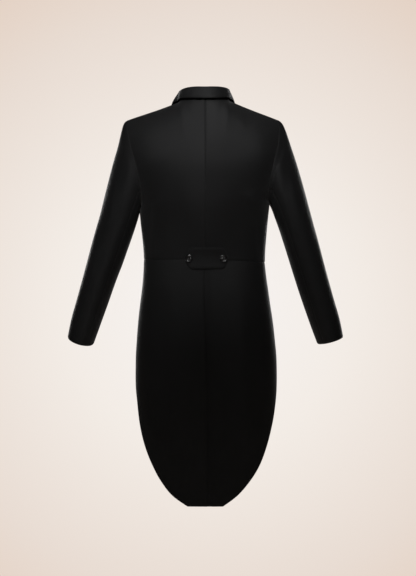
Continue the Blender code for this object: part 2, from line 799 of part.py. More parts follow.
def collar_foot(side, place):
    """Foot of the collar: on the back neck to the neck point, then down the front edge to the gorge."""
    inwards = np.array([-side * COLLAR_INWARDS * ease((place - INWARDS_FROM) / INWARDS_OVER), 0.0, LAY])
    if place <= 1:
        return back_top(side, BACK_NECK_SHARE * place) + inwards
    return front_point(side, 0.0, blend(3.0, COLLAR_END_ROW, (place - 1) / 2)) + inwards


STAND_CURVE = curve(COLLAR_STAND[:, 0], COLLAR_STAND[:, 1:])
BACK_FALL_CURVE = curve(FALL_ON_BACK[:, 0], FALL_ON_BACK[:, 1:])
FRONT_FALL_CURVE = curve(FALL_ON_FRONT[:, 0], FALL_ON_FRONT[:, 1:])


def fall_edge(side, place):
    """Edge of the collar fall, and its height off the panel on which it lies."""
    table = BACK_FALL_CURVE if place <= 1 else FRONT_FALL_CURVE
    left, right, v, off = table(place)
    panel = back_point if place <= 1 else front_point
    return moved_out(panel, side, left if side < 0 else right, v, off), off


# Search for the nearest place on the front: where it begins, its steps and its last u
NEAREST_FROM = (0.1, 2.8)
NEAREST_STEPS = 12
NEAREST_LAST_U = 0.9


def clear_of_front(side, point, off):
    """Raise a point, where it must, so that it is this far off the front panel."""
    u, v = NEAREST_FROM
    for _ in range(NEAREST_STEPS):
        here = front_point(side, u, v)
        along = (front_point(side, u + SLOPE_STEP, v) - here) / SLOPE_STEP
        up = (here - front_point(side, u, v - SLOPE_STEP)) / SLOPE_STEP
        moves = np.linalg.lstsq(np.column_stack([along, up]), point - here, rcond=None)[0]
        u = min(max(u + moves[0], 0.0), NEAREST_LAST_U)
        v = min(max(v + moves[1], 2.0), 3.0)
    normal = moved_out(front_point, side, u, v, 1.0) - front_point(side, u, v)
    height = float(np.dot(point - front_point(side, u, v), normal))
    return point + normal * max(off - height, 0.0)


# Direction of the stand behind the neck and at the front, and the place from which it turns
STAND_AT_BACK = np.array([0.0, 0.0, 1.0])
STAND_AT_FRONT = np.array([0.0, 1.0, 0.3])
STAND_TURNS_FROM = 1.2

# The fold as shares of its roll: down the stand and out over the fall; then shares of the fall
FOLD_SHAPE = ((0.3, 0.3), (0.0, 1.0), (0.35, 1.9))
FALL_SHARES = (0.33, 0.67, 1.0)
COLLAR_ROLL_SHARE = 0.6
ON_STAND = 4


def collar_neck_row(side, place):
    """Points across the collar round the neck, from its foot over the fold to the fall edge."""
    lean, height = STAND_CURVE(place)
    foot = collar_foot(side, place)
    inward = -unit(np.array([foot[0], foot[1] - NECK_MIDDLE_Y, 0.0]))
    up = unit(blend(STAND_AT_BACK, STAND_AT_FRONT, ease(place - STAND_TURNS_FROM)))
    fold = foot + inward * lean + up * height
    edge = fall_edge(side, place)[0]
    rise = unit(fold - foot)
    out = edge - fold
    across = unit(out - rise * np.dot(out, rise))
    roll = min(COLLAR_ROLL, np.linalg.norm(fold - foot) * COLLAR_ROLL_SHARE)
    row = [foot, blend(foot, fold - rise * roll, 0.5), fold - rise * roll]
    for down, out in FOLD_SHAPE:
        row.append(fold - rise * roll * down + across * roll * out)
    last = row[-1]
    for f in FALL_SHARES:
        row.append(blend(last, edge, f) + across * math.sin(math.pi * f))
    return row


def collar_end_row(side, above):
    """Points across the end of the collar, lying along the gorge on the front."""
    row = []
    for share, off, inwards in COLLAR_END:
        v = blend(COLLAR_END_ROW, NOTCH_ROW + GORGE_GAP, share) + above
        width = NOTCH_SHARE * float(LAPEL_WIDTH(1.0)) * share
        point = moved_out(front_point, side, front_at_width(side, v, width), v, off)
        row.append(point - np.array([side * inwards, 0.0, 0.0]))
    return row


def collar_row(side, place):
    """Points across the collar at any place; its last strip is square to the gorge."""
    row = collar_neck_row(side, place)
    if place <= 1:
        return row
    above = COLLAR_STRIP * min((3 - place) / (3 - COLLAR_STRIP_PLACE), 1.0)
    near_end = ease((place - 2) / (COLLAR_STRIP_PLACE - 2))
    row = [blend(a, b, near_end) for a, b in zip(row, collar_end_row(side, above))]
    off = fall_edge(side, place)[1]
    return row[:ON_STAND] + [clear_of_front(side, point, off) for point in row[ON_STAND:]]


def build_collar(group, material):
    """Stand and fall in one folded wall, swept round the neck from gorge to gorge."""
    stops = [(-1, place) for place in reversed(COLLAR_PLACES)] + [(1, place) for place in COLLAR_PLACES[1:]]
    rows = [collar_row(side, place) for side, place in stops]
    return cloth_piece(group, "collar", rows, COLLAR_CLOTH, material, False)


def back_face(x, drop, reach):
    """Point on the back at the waist, moved off its face, and the direction of the face."""
    def place(x, drop):
        side = 1 if x > 0 else -1
        return section_point(side, drop, angle_at_x(x, side, drop))

    normal = unit(np.cross(place(x + 1, drop) - place(x - 1, drop), place(x, drop - 1) - place(x, drop + 1)))
    return place(x, drop) + normal * reach, normal


def build_half_belt(group, material):
    """The pointed tab over the waist seam, made from points of the back."""
    outline = curve(HALF_BELT[:, 0], HALF_BELT[:, 1])
    rows = []
    for share in BELT_ROWS:
        row = []
        for x in HALF_BELT[:, 0]:
            drop = HALF_BELT_DROP - share * float(outline(x))
            row.append(back_face(x, drop, DOUBLE_CLOTH + BELT_LAY)[0])
        rows.append(row)
    return cloth_piece(group, "half_belt", rows, DOUBLE_CLOTH, material, False)


def build_button(group, name, place, normal, material):
    """Turned button with a raised rim, its back on the cloth."""
    top = BUTTON_HEIGHT
    radius = BUTTON_RADIUS
    profile = [
        (0.0, top * 0.7),
        (radius * 0.62, top * 0.72),
        (radius * 0.80, top),
        (radius * 0.95, top * 0.9),
        (radius, top * 0.55),
        (radius * 0.75, top * 0.1),
        (radius * 0.4, 0.0),
        (0.0, 0.0),
    ]
    mesh = bpy.data.meshes.new(name)
    points = [(x * MM, 0.0, z * MM) for x, z in profile]
    mesh.from_pydata(points, [(i, i + 1) for i in range(len(points) - 1)], [])
    mesh.materials.append(material)
    obj = bpy.data.objects.new(name, mesh)
    group.objects.link(obj)
    turn = obj.modifiers.new("Turned", "SCREW")
    turn.axis = "Z"
    turn.steps = BUTTON_STEPS
    turn.render_steps = BUTTON_STEPS
    turn.use_merge_vertices = True
    turn.merge_threshold = 0.00001
    obj.location = Vector(place) * MM
    obj.rotation_euler = Vector(normal).to_track_quat("Z", "Y").to_euler()
    return obj


def build_belt_button(group, side, material):
    place, normal = back_face(side * BELT_BUTTON_X[side], BELT_BUTTON_DROP, DOUBLE_CLOTH + BELT_LAY + LAY)
    build_button(group, f"belt_button_{SIDE_NAME[side]}", place, normal, material)


def build_front_buttons(group, side, material):
    """Three buttons down each front, just outside the end of the lapel."""
    for number, (drop, out) in enumerate(FRONT_BUTTONS, 1):
        v = (WAIST_DROP_FRONT - drop) / (WAIST_DROP_FRONT - CORNER_DROP_BACK)
        edge = front_point(side, 0.0, v)
        u = front_at_width(side, v, out - abs(edge[0]))
        place = moved_out(front_point, side, u, v, LAY)
        normal = place - front_point(side, u, v)
        build_button(group, f"front_button_{SIDE_NAME[side]}_{number}", place, normal, material)


def main():
    clear_scene()
    group = new_collection(COLLECTION)
    wool = new_material("black_wool", (0.012, 0.012, 0.013), 0.85)
    silk = new_material("black_silk", (0.02, 0.02, 0.022), 0.4)
    gloss = new_material("black_button", (0.015, 0.015, 0.016), 0.2)
    for side in (-1, 1):
        build_back(group, side, wool)
        build_front(group, side, wool)
        build_tail(group, side, wool)
        build_sleeve(group, side, wool)
        build_lapel(group, side, silk)
        build_belt_button(group, side, gloss)
        build_front_buttons(group, side, gloss)
    build_collar(group, wool)
    build_half_belt(group, wool)


main()
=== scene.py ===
"""Looks of the white tie tailcoat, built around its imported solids.

Every cloth piece is a thin shell on its solid's form, drawn with a finer grid, soft creases,
rolled edges and stitching. Sizes are in millimetres until a mesh is made; "drop" is the distance
down from the origin, at the middle of the neck. The coat's back looks along -Y.
"""
import math
import random

import bpy
import numpy as np
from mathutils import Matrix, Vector


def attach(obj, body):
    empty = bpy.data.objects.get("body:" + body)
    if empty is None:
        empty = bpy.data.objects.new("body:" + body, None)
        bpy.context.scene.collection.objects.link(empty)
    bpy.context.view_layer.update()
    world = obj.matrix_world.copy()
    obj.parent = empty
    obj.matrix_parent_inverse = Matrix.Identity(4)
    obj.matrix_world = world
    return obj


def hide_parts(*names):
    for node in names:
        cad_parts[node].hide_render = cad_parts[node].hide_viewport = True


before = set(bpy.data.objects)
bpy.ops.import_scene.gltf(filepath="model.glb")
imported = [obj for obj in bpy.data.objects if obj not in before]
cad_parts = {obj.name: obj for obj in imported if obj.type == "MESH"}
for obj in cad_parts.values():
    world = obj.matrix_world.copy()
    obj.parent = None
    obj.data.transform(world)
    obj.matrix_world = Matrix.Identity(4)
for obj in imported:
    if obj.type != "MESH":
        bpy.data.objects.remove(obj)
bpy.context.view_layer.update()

MM = 0.001

# Driving sizes. The seam is less than nothing, because the dressed pieces overlap a little there, so
# that no light shows through
CLOTH = 1.8
DOUBLE_CLOTH = 2.4
SEAM = -0.5
LAY = 0.5
SEAM_STRIP = 3.0
HEM_DROP = 1090.0
WAIST_DROP_BACK = 423.0
WAIST_DROP_SIDE = {-1: 419.0, 1: 428.0}
WAIST_DROP_FRONT = 441.0
NECK_BACK = (0.0, -70.0, 20.5)
NECK_POINT = {-1: (76.0, -4.0, 15.0), 1: (69.0, -4.0, 18.5)}
SHOULDER_TIP = {-1: (214.0, -6.0, -34.0), 1: (201.0, -6.0, -34.0)}
CORNER_DROP_BACK = 250.0
PITCH_DROP_BACK = 135.0
PITCH_DROP_FRONT = 140.0
VENT_UNDERLAP = 22.0
VENT_RAMP = 18.0
VENT_EDGE = 4.0
UNDERLAP_COLUMNS = [-1.0, -0.7, -0.45, -0.3, -0.15]
TAIL_STRIP = 0.0045
TAIL_CROWDING = 1.5
SIDE_NAME = {-1: "left", 1: "right"}


def curve(stations, values):
    """Smooth curve through a table, with the mean slope of its neighbours at each station."""
    s = np.asarray(stations, float)
    v = np.asarray(values, float)
    slopes = np.gradient(v, s, axis=0)

    def at(t):
        t = min(max(t, s[0]), s[-1])
        i = min(max(int(np.searchsorted(s, t)) - 1, 0), len(s) - 2)
        h = s[i + 1] - s[i]
        f = (t - s[i]) / h
        start = (1 + 2 * f) * (1 - f) ** 2 * v[i] + f * (1 - f) ** 2 * h * slopes[i]
        end = f * f * (3 - 2 * f) * v[i + 1] + f * f * (f - 1) * h * slopes[i + 1]
        return start + end

    return at


def blend(a, b, f):
    return a + (b - a) * f


def ease(f):
    f = min(max(f, 0.0), 1.0)
    return f * f * (3 - 2 * f)


def unit(vector):
    return vector / np.linalg.norm(vector)


# Level sections of the body: drop, left half width, right half width, back depth, front depth
BODY = np.array([
    (100, 190.0, 186.0, 109.0, 96.0),
    (160, 188.0, 183.0, 117.0, 112.0),
    (220, 186.0, 181.0, 114.0, 119.0),
    (284, 183.0, 176.0, 107.0, 120.0),
    (328, 179.3, 171.2, 99.0, 117.0),
    (372, 174.6, 167.1, 91.0, 113.0),
    (417, 171.5, 165.1, 87.5, 110.0),
    (439, 171.5, 165.9, 90.0, 110.0),
    (506, 176.5, 174.3, 104.0, 115.0),
    (550, 182.1, 179.9, 113.0, 120.0),
    (595, 186.8, 186.3, 120.0, 124.0),
    (639, 190.2, 190.7, 125.0, 126.0),
    (684, 193.2, 195.2, 127.0, 127.0),
    (728, 194.3, 197.1, 127.5, 127.0),
    (800, 195.0, 197.5, 126.0, 126.0),
    (900, 195.0, 197.5, 123.5, 125.0),
    (1000, 195.0, 197.5, 121.0, 125.0),
    (1100, 195.0, 197.5, 119.0, 125.0),
])
HALF_WIDTH = {-1: curve(BODY[:, 0], BODY[:, 1]), 1: curve(BODY[:, 0], BODY[:, 2])}
BACK_DEPTH = curve(BODY[:, 0], BODY[:, 3])
FRONT_DEPTH = curve(BODY[:, 0], BODY[:, 4])

# How square a section is: drop, exponent of its superellipse (2 is an ellipse)
SQUARENESS = curve((100, 226, 284, 420, 560, 1100), (3.0, 3.1, 2.5, 2.35, 2.3, 2.3))

# Front edge, which is the roll line above the break: drop, distance from the middle
FRONT_EDGE = curve((0, 140, 250, 340, 441), (71.0, 66.0, 59.0, 54.0, 52.0))

# Armhole: degrees round from the shoulder tip by way of the back, then out, y, drop
ARMHOLE = {
    -1: np.array([
        (0, 214.0, -6.0, 34.0),
        (30, 214.5, -33.0, 71.0),
        (60, 205.2, -56.0, 114.0),
        (90, 191.0, -72.0, 163.0),
        (120, 178.5, -66.0, 226.0),
        (150, 177.0, -40.0, 270.0),
        (180, 182.5, 0.0, 285.0),
        (210, 175.0, 40.0, 270.0),
        (240, 165.0, 65.0, 226.0),
        (270, 170.0, 72.0, 166.0),
        (300, 187.0, 57.0, 112.0),
        (330, 205.0, 31.0, 66.0),
        (360, 214.0, -6.0, 34.0),
    ]),
    1: np.array([
        (0, 201.0, -6.0, 34.0),
        (30, 204.5, -33.0, 73.0),
        (60, 198.0, -56.0, 118.0),
        (90, 186.5, -72.0, 163.0),
        (120, 176.0, -66.0, 222.0),
        (150, 173.0, -40.0, 256.0),
        (180, 177.5, 0.0, 267.0),
        (210, 170.0, 40.0, 256.0),
        (240, 160.0, 65.0, 218.0),
        (270, 165.0, 72.0, 163.0),
        (300, 179.0, 57.0, 112.0),
        (330, 193.0, 31.0, 66.0),
        (360, 201.0, -6.0, 34.0),
    ]),
}

# Front edge of each tail, as the angle it has reached: drop, left angle, right angle
TAIL_EDGE = np.array([
    (424, 133.0, 133.0),
    (440, 130.5, 130.5),
    (470, 125.5, 125.5),
    (520, 119.5, 119.5),
    (600, 110.0, 110.0),
    (700, 97.0, 98.0),
    (770, 82.5, 86.0),
    (814, 72.8, 75.7),
    (858, 67.0, 67.8),
    (900, 60.4, 60.4),
    (942, 52.9, 53.2),
    (984, 44.8, 45.5),
    (1026, 36.0, 35.5),
    (1067, 24.5, 23.3),
    (1090, 14.2, 13.8),
])
TAIL_ANGLE = {
    -1: curve(TAIL_EDGE[:, 0], TAIL_EDGE[:, 1]),
    1: curve(TAIL_EDGE[:, 0], TAIL_EDGE[:, 2]),
}

# Line of the centre vent: drop, x
VENT_LINE = curve((423, 500, 600, 700, 900, 1090), (-1.5, -3.0, 0.5, 3.0, 4.5, 5.0))

# Outer outline of the sleeves seen from behind: drop, left and right distance from the middle
SLEEVE_OUTER = np.array([
    (34, 214.0, 201.0),
    (42, 225.5, 212.1),
    (50, 228.8, 217.1),
    (61, 231.9, 221.6),
    (83, 237.4, 229.6),
    (106, 243.0, 237.1),
    (150, 255.5, 251.6),
    (195, 267.4, 265.2),
    (284, 290.3, 290.2),
    (372, 315.2, 314.2),
    (461, 339.4, 338.7),
    (550, 364.6, 364.0),
    (617, 383.2, 382.8),
    (640, 387.2, 386.4),
    (670, 394.0, 393.0),
])

# Inner outline of the sleeves, next to the body: drop, left and right distance from the middle
SLEEVE_INNER = np.array([
    (266, 185.0, 181.0),
    (284, 185.6, 187.2),
    (306, 187.6, 193.8),
    (328, 193.9, 201.7),
    (372, 208.3, 216.1),
    (417, 224.4, 230.5),
    (461, 241.6, 244.6),
    (506, 258.4, 259.1),
    (550, 274.5, 274.0),
    (595, 290.5, 289.9),
    (640, 307.1, 307.1),
    (680, 322.0, 322.5),
])
OUTER_X = {side: curve(SLEEVE_OUTER[:, 0], SLEEVE_OUTER[:, column]) for side, column in ((-1, 1), (1, 2))}
INNER_X = {side: curve(SLEEVE_INNER[:, 0], SLEEVE_INNER[:, column]) for side, column in ((-1, 1), (1, 2))}

# Sleeve rings: outer drop, inner drop left, inner drop right, half depth, middle y, share of armhole form
SLEEVE_RINGS = np.array([
    (44, 284.5, 267, 73.5, 0.0, 0.97),
    (56, 287, 271, 74.0, 0.0, 0.90),
    (76, 292, 278, 74.0, 0.5, 0.78),
    (108, 300, 289, 73.0, 1.0, 0.60),
    (146, 310, 301, 71.5, 2.0, 0.42),
    (190, 324, 317, 70.0, 3.0, 0.26),
    (238, 342, 337, 68.0, 5.0, 0.13),
    (288, 364, 361, 66.0, 7.0, 0.05),
    (338, 391, 390, 63.5, 9.0, 0.0),
    (388, 424, 424, 61.0, 11.5, 0.0),
    (438, 464, 465, 58.5, 14.5, 0.0),
    (488, 512, 512, 56.0, 18.5, 0.0),
    (538, 561, 561, 53.0, 23.5, 0.0),
    (588, 609, 609, 50.0, 29.0, 0.0),
    (636, 656, 656, 47.5, 34.0, 0.0),
])
CUFF_SLANT = {-1: 12.0, 1: 5.0}
CUFF_SLANT_LENGTH = 120.0
SLEEVE_CLEARANCE = 3.0
SLEEVE_GAP = -4.0
UNDER_STRIP = 0.4
SLEEVE_DRAWN_IN = 0.009
SLEEVE_DRAWN_ROWS = 8
SLEEVE_SEAM_GAP = -1.0
SLEEVE_SEAM_STRIP = 2.4
ARMHOLE_HALF_DEPTH = 73.0
CAP_SLOPE = 0.36
CAP_TURN = 0.25
HINDARM_ANGLE = 126.0
FOREARM_ANGLE = 234.0
ARMHOLE_STEP = 18.0
CAP_STEPS = 6

# Collar stand: place round the neck (0 centre back, 1 neck point, 3 gorge), lean inwards, height
COLLAR_STAND = np.array([
    (0.0, 3.5, 29.0),
    (0.4, 4.5, 31.0),
    (0.75, 8.0, 33.5),
    (1.0, 12.0, 34.5),
    (1.5, 7.0, 25.0),
    (2.0, 3.0, 14.0),
    (3.0, 0.0, 4.5),
])

# Edge of the collar fall on the back and on the front: place, u left, u right, v, height off the panel
FALL_ON_BACK = np.array([
    (0.0, 0.00, 0.00, 2.955, 10.0),
    (0.4, 0.16, 0.15, 2.950, 9.0),
    (0.75, 0.31, 0.29, 2.960, 7.0),
    (1.0, 0.42, 0.39, 3.000, 4.4),
])
FALL_ON_FRONT = np.array([
    (1.0, 0.121, 0.076, 3.000, 4.4),
    (1.5, 0.160, 0.130, 2.880, 4.2),
    (2.0, 0.210, 0.195, 2.720, 4.0),
    (3.0, 0.270, 0.270, 2.465, 4.0),
])
COLLAR_INWARDS = 3.0
INWARDS_FROM = 0.8
INWARDS_OVER = 0.33
COLLAR_STRIP = 0.015
COLLAR_STRIP_PLACE = 2.93
COLLAR_ROLL = 4.0
NECK_MIDDLE_Y = 20.0
COLLAR_PLACES = [
    0.0, 0.2, 0.4, 0.6, 0.8, 1.0, 1.15, 1.3, 1.45, 1.6, 1.8, 2.0, 2.2, 2.4, 2.6, 2.8,
    COLLAR_STRIP_PLACE, 3.0,
]

# Points across the end of the collar: share of its width, height off the front, inwards of its edge
COLLAR_END = (
    (0.0, 0.6, 3.4),
    (0.0, 2.4, 3.8),
    (0.0, 4.2, 3.8),
    (0.0, 5.6, 2.6),
    (0.04, 6.2, 0.4),
    (0.14, 6.2, 0.0),
    (0.42, 5.0, 0.0),
    (0.72, 4.2, 0.0),
    (1.0, 3.9, 0.0),
)

# Lapel: rows of the front at the break, the gorge, the notch and the peak, and width by height
BREAK_ROW = 0.54
GORGE_ROW = 2.60
NOTCH_ROW = 2.455
PEAK_ROW = 2.568
NOTCH_SHARE = 0.42
GORGE_GAP = 0.010
COLLAR_END_ROW = GORGE_ROW + GORGE_GAP
LAPEL_HEIGHT = 3.0
LAPEL_ROLL = 2.5
LAPEL_ROWS = 16
LAPEL_COLUMNS = (0.0, 0.04, 0.12, 0.26, NOTCH_SHARE, 0.6, 0.8, 1.0)
LAPEL_WIDTH = curve((0, 0.08, 0.3, 0.6, 0.85, 1.0), (3.0, 11.0, 33.0, 58.0, 75.0, 85.0))

# Half belt outline: x, half height
HALF_BELT = np.array([
    (-57.2, 5.0),
    (-54.0, 11.0),
    (-38.0, 29.0),
    (-24.0, 29.3),
    (-8.0, 29.4),
    (8.0, 29.4),
    (24.0, 29.3),
    (36.0, 29.2),
    (47.5, 29.0),
    (58.5, 11.0),
    (61.5, 5.0),
])
HALF_BELT_DROP = 419.5
BELT_LAY = 1.0
BELT_ROWS = (-1.0, -0.9, -0.3, 0.3, 0.9, 1.0)
BELT_BUTTON_X = {-1: 44.4, 1: 48.2}
BELT_BUTTON_DROP = 420.5
BUTTON_RADIUS = 10.0
BUTTON_HEIGHT = 4.5

# Front buttons: drop, distance from the middle
FRONT_BUTTONS = ((292.0, 96.0), (342.0, 89.0), (392.0, 82.0))

# How quickly the waist seam dips in front and a level row of the chest takes its slope, how deep the
# shoulder seam hollows, and the steps by which slopes and near points are found
WAIST_DIP_PACE = 1.3
CHEST_PACE = 1.5
SHOULDER_HOLLOW = 3.0
RISE_STEP = 0.02
SLOPE_STEP = 0.01
HALVINGS = 20
NEAREST_FROM = (0.1, 2.8)
NEAREST_STEPS = 12
NEAREST_LAST_U = 0.9


def section_point(side, drop, angle):
    """Point on the level body section at a drop, in the section's own x and y."""
    power = SQUARENESS(drop)
    s = math.sin(angle)
    c = math.cos(angle)
    reach = (abs(s) ** power + abs(c) ** power) ** (-1 / power)
    depth = BACK_DEPTH(drop) if c > 0 else FRONT_DEPTH(drop)
    return np.array([side * HALF_WIDTH[side](drop) * s * reach, -depth * c * reach, -drop])


def angle_at_y(y, drop):
    """Angle at which the section at a drop has this y."""
    power = SQUARENESS(drop)
    depth = BACK_DEPTH(drop) if y <= 0 else FRONT_DEPTH(drop)
    part = min(abs(y) / depth, 1.0)
    across = (1 - part ** power) ** (1 / power)
    angle = math.atan2(across, part)
    return angle if y <= 0 else math.pi - angle


def angle_at_x(x, side, drop, front=False):
    """Angle at which the section at a drop is this far from the middle."""
    power = SQUARENESS(drop)
    part = min(abs(x) / HALF_WIDTH[side](drop), 1.0)
    angle = math.atan2(part, (1 - part ** power) ** (1 / power))
    return math.pi - angle if front else angle


def closed_curve(rows):
    """Smooth closed curve through rows whose first column is degrees, from 0 to 360."""
    before = rows[-2] - np.array([360.0, 0.0, 0.0, 0.0])
    after = rows[1] + np.array([360.0, 0.0, 0.0, 0.0])
    whole = np.vstack([before, rows, after])
    return curve(whole[:, 0], whole[:, 1:])


ARMHOLE_CURVE = {side: closed_curve(rows) for side, rows in ARMHOLE.items()}


def armhole_point(side, degrees):
    out, y, drop = ARMHOLE_CURVE[side](degrees)
    return np.array([side * out, y, -drop])


def waist_drop(side, angle):
    """Drop of the waist seam: it dips a little from the back round to the front."""
    at_side = WAIST_DROP_SIDE[side]
    quarter = math.pi / 2
    if angle <= quarter:
        return blend(WAIST_DROP_BACK, at_side, angle / quarter)
    return blend(at_side, WAIST_DROP_FRONT, ease((angle - quarter) / quarter * WAIST_DIP_PACE))


def shoulder_point(side, f):
    """Point on the shoulder seam, from the neck point to the tip; it hollows a little near the neck."""
    neck = np.array(NECK_POINT[side])
    tip = np.array(SHOULDER_TIP[side])
    point = blend(neck, tip, f)
    point[2] -= SHOULDER_HOLLOW * math.sin(math.pi * f) * (1 - f)
    point[0] *= side
    return point


def hermite(p0, m0, p1, m1, f):
    """Cubic between two points with given slopes."""
    a = (1 + 2 * f) * (1 - f) ** 2 * p0 + f * (1 - f) ** 2 * m0
    return a + f * f * (3 - 2 * f) * p1 + f * f * (f - 1) * m1


# Direction and pace at which the cloth crosses the shoulder seam, from the back forward
OVER_SHOULDER = np.array([0.0, 180.0, 0.0])


# Back panel

BACK_NECK_SHARE = 0.34
UP_TO_NECK = np.array([0.0, 62.0, 142.0])
LEVEL_SHARE = 0.3


def back_top(side, u):
    """Top edge of the back: half the back neck, then the shoulder seam."""
    if u >= BACK_NECK_SHARE:
        return shoulder_point(side, (u - BACK_NECK_SHARE) / (1 - BACK_NECK_SHARE))
    turn = u / BACK_NECK_SHARE * math.pi / 2
    neck = NECK_POINT[side]
    x = side * neck[0] * math.sin(turn)
    y = neck[1] + (NECK_BACK[1] - neck[1]) * math.cos(turn)
    return np.array([x, y, blend(neck[2], NECK_BACK[2], math.cos(turn))])


# Rounding of the corner at the neck point for the cloth below it: its reach, where it comes in from
# the centre and from the armhole, how quickly the true corner fades below the edge, and its samples
CORNER_REACH = 0.3
CORNER_FROM_CENTRE = 0.3
CORNER_FROM_ARMHOLE = 0.5
CORNER_FADE = 5
CORNER_SAMPLES = np.linspace(-1, 1, 9)


def rounded_back_top(side, u):
    """Top edge of the back with its corner at the neck point rounded off."""
    reach = CORNER_REACH * min(1.0, u / CORNER_FROM_CENTRE, (1 - u) / CORNER_FROM_ARMHOLE)
    return sum(back_top(side, u + reach * t) for t in CORNER_SAMPLES) / len(CORNER_SAMPLES)


def back_row(side, u, v):
    """Rows of the back: v 0 to 1 from waist to underarm, 1 to 2 up to the back pitch."""
    quarter = math.pi / 2
    under = -armhole_point(side, 180)[2]
    if v <= 1:
        seam_angle = quarter * u
        start = blend(WAIST_DROP_BACK, CORNER_DROP_BACK, v)
        waist = waist_drop(side, seam_angle)
        end = blend(WAIST_DROP_SIDE[side], under, v)
        tilt = blend(u, ease(u), ease(v * CHEST_PACE))
        drop = blend(start, end, tilt) if v > 0 else waist
        return section_point(side, drop, seam_angle)
    end = armhole_point(side, 180 - 90 * (v - 1))
    start = blend(CORNER_DROP_BACK, PITCH_DROP_BACK, v - 1)
    drop = blend(start, -end[2], ease(u))
    last = angle_at_y(end[1], -end[2])
    full = section_point(side, -end[2], last)[0]
    point = section_point(side, drop, last * u)
    point[0] *= blend(1.0, end[0] / full, u * u)
    return point


def back_point(side, u, v):
    """Point on the back panel: u from the centre back out, v from the waist (0) to the top (3)."""
    if v <= 2:
        return back_row(side, u, v)
    f = v - 2
    step = RISE_STEP
    first = back_row(side, u, 2.0)
    rise = (first - back_row(side, u, 2.0 - step)) / step
    last = rounded_back_top(side, min(max(u, 0.0), 1.0))
    level = blend(UP_TO_NECK, OVER_SHOULDER, ease(u / LEVEL_SHARE))
    point = hermite(first, rise, last, level, f) + (back_top(side, u) - last) * f ** CORNER_FADE
    edge_first = back_row(side, 1.0, 2.0)
    edge_rise = (edge_first - back_row(side, 1.0, 2.0 - step)) / step
    edge = hermite(edge_first, edge_rise, back_top(side, 1.0), OVER_SHOULDER, f)
    return point + u ** 4 * (armhole_point(side, 90 * (1 - f)) - edge)


# Front panel

# Direction and pace at which the front edge runs back and up to the neck point, and how far out it tells
NECKLINE = np.array([0.0, -150.0, 65.0])
NECKLINE_SHARE = 0.3


def front_row(side, u, v):
    """Rows of the front: v 0 to 1 from waist to underarm, 1 to 2 up to the front pitch."""
    quarter = math.pi / 2
    under = -armhole_point(side, 180)[2]
    if v <= 1:
        start = blend(WAIST_DROP_FRONT, CORNER_DROP_BACK, v)
        end = blend(WAIST_DROP_SIDE[side], under, v)
        edge_angle = angle_at_x(FRONT_EDGE(start), side, start, front=True)
        angle = blend(edge_angle, quarter, u)
        drop = blend(start, end, blend(u, ease(u), ease(v * CHEST_PACE)))
        if v == 0:
            drop = waist_drop(side, angle)
        return section_point(side, drop, angle)
    end = armhole_point(side, 180 + 90 * (v - 1))
    start = blend(CORNER_DROP_BACK, PITCH_DROP_FRONT, v - 1)
    drop = blend(start, -end[2], ease(u))
    last = angle_at_y(end[1], -end[2])
    full = section_point(side, -end[2], last)[0]
    edge_angle = angle_at_x(FRONT_EDGE(start), side, start, front=True)
    point = section_point(side, drop, blend(edge_angle, last, u))
    point[0] *= blend(1.0, end[0] / full, u * u)
    return point


def front_point(side, u, v):
    """Point on the front panel: u from the front edge out, v from the waist (0) to the top (3)."""
    if v <= 2:
        return front_row(side, u, v)
    f = v - 2
    step = RISE_STEP
    first = front_row(side, u, 2.0)
    rise = (first - front_row(side, u, 2.0 - step)) / step
    last = shoulder_point(side, u)
    level = blend(NECKLINE, -OVER_SHOULDER, ease(u / NECKLINE_SHARE))
    point = hermite(first, rise, last, level, f)
    edge_first = front_row(side, 1.0, 2.0)
    edge_rise = (edge_first - front_row(side, 1.0, 2.0 - step)) / step
    edge = hermite(edge_first, edge_rise, shoulder_point(side, 1.0), -OVER_SHOULDER, f)
    return point + u ** 4 * (armhole_point(side, 270 + 90 * f) - edge)


# Tails

def tail_point(side, u, v):
    """Point on a tail: u from the vent (0) to the front edge (1), v from the waist seam to the hem.

    The right tail's underlap is u from -1 (its hidden edge) to 0.
    """
    guess = blend(WAIST_DROP_BACK, HEM_DROP, v)
    last = math.radians(TAIL_ANGLE[side](guess))
    vent_x = VENT_LINE(guess)
    near = VENT_RAMP if side > 0 else -SEAM / 2
    x = vent_x + near + (min(u, 0.0) * (VENT_RAMP + VENT_UNDERLAP))
    start = angle_at_x(x, side, guess) * side * math.copysign(1, x)
    angle = blend(start, last, max(u, 0.0))
    top = waist_drop(side, max(angle, 0.0)) + SEAM
    point = section_point(side, blend(top, HEM_DROP, v), angle)
    if side > 0:
        tuck = 1 - ease((point[0] - vent_x - VENT_EDGE) / (VENT_RAMP - VENT_EDGE))
        point[1] += tuck * (CLOTH + LAY + SEAM)
    return point


# Sleeves

def armhole_ellipse(side, angle):
    """The plain ellipse from which the armhole's own form differs."""
    outer = armhole_point(side, 0)
    inner = armhole_point(side, 180)
    middle = (outer + inner) / 2
    arm = (outer - inner) / 2
    return middle + arm * math.cos(angle) + np.array([0.0, -ARMHOLE_HALF_DEPTH * math.sin(angle), 0.0])


def sleeve_ring(side, row, angle):
    """Point on one ring of a sleeve, angle from the outer line round by way of the back."""
    outer_drop, inner_left, inner_right, half_depth, middle_y, share = SLEEVE_RINGS[row]
    inner_drop = inner_left if side < 0 else inner_right
    outer = np.array([side * OUTER_X[side](outer_drop), middle_y, -outer_drop])
    inner = np.array([side * INNER_X[side](inner_drop), middle_y, -inner_drop])
    middle = (outer + inner) / 2
    arm = (outer - inner) / 2
    point = middle + arm * math.cos(angle) - np.array([0.0, half_depth * math.sin(angle), 0.0])
    own = armhole_point(side, math.degrees(angle) % 360) - armhole_ellipse(side, angle)
    point = point + share * own
    to_cuff = SLEEVE_RINGS[-1][0] - outer_drop
    point[2] -= CUFF_SLANT[side] * math.sin(angle) * ease(1 - to_cuff / CUFF_SLANT_LENGTH)
    return point


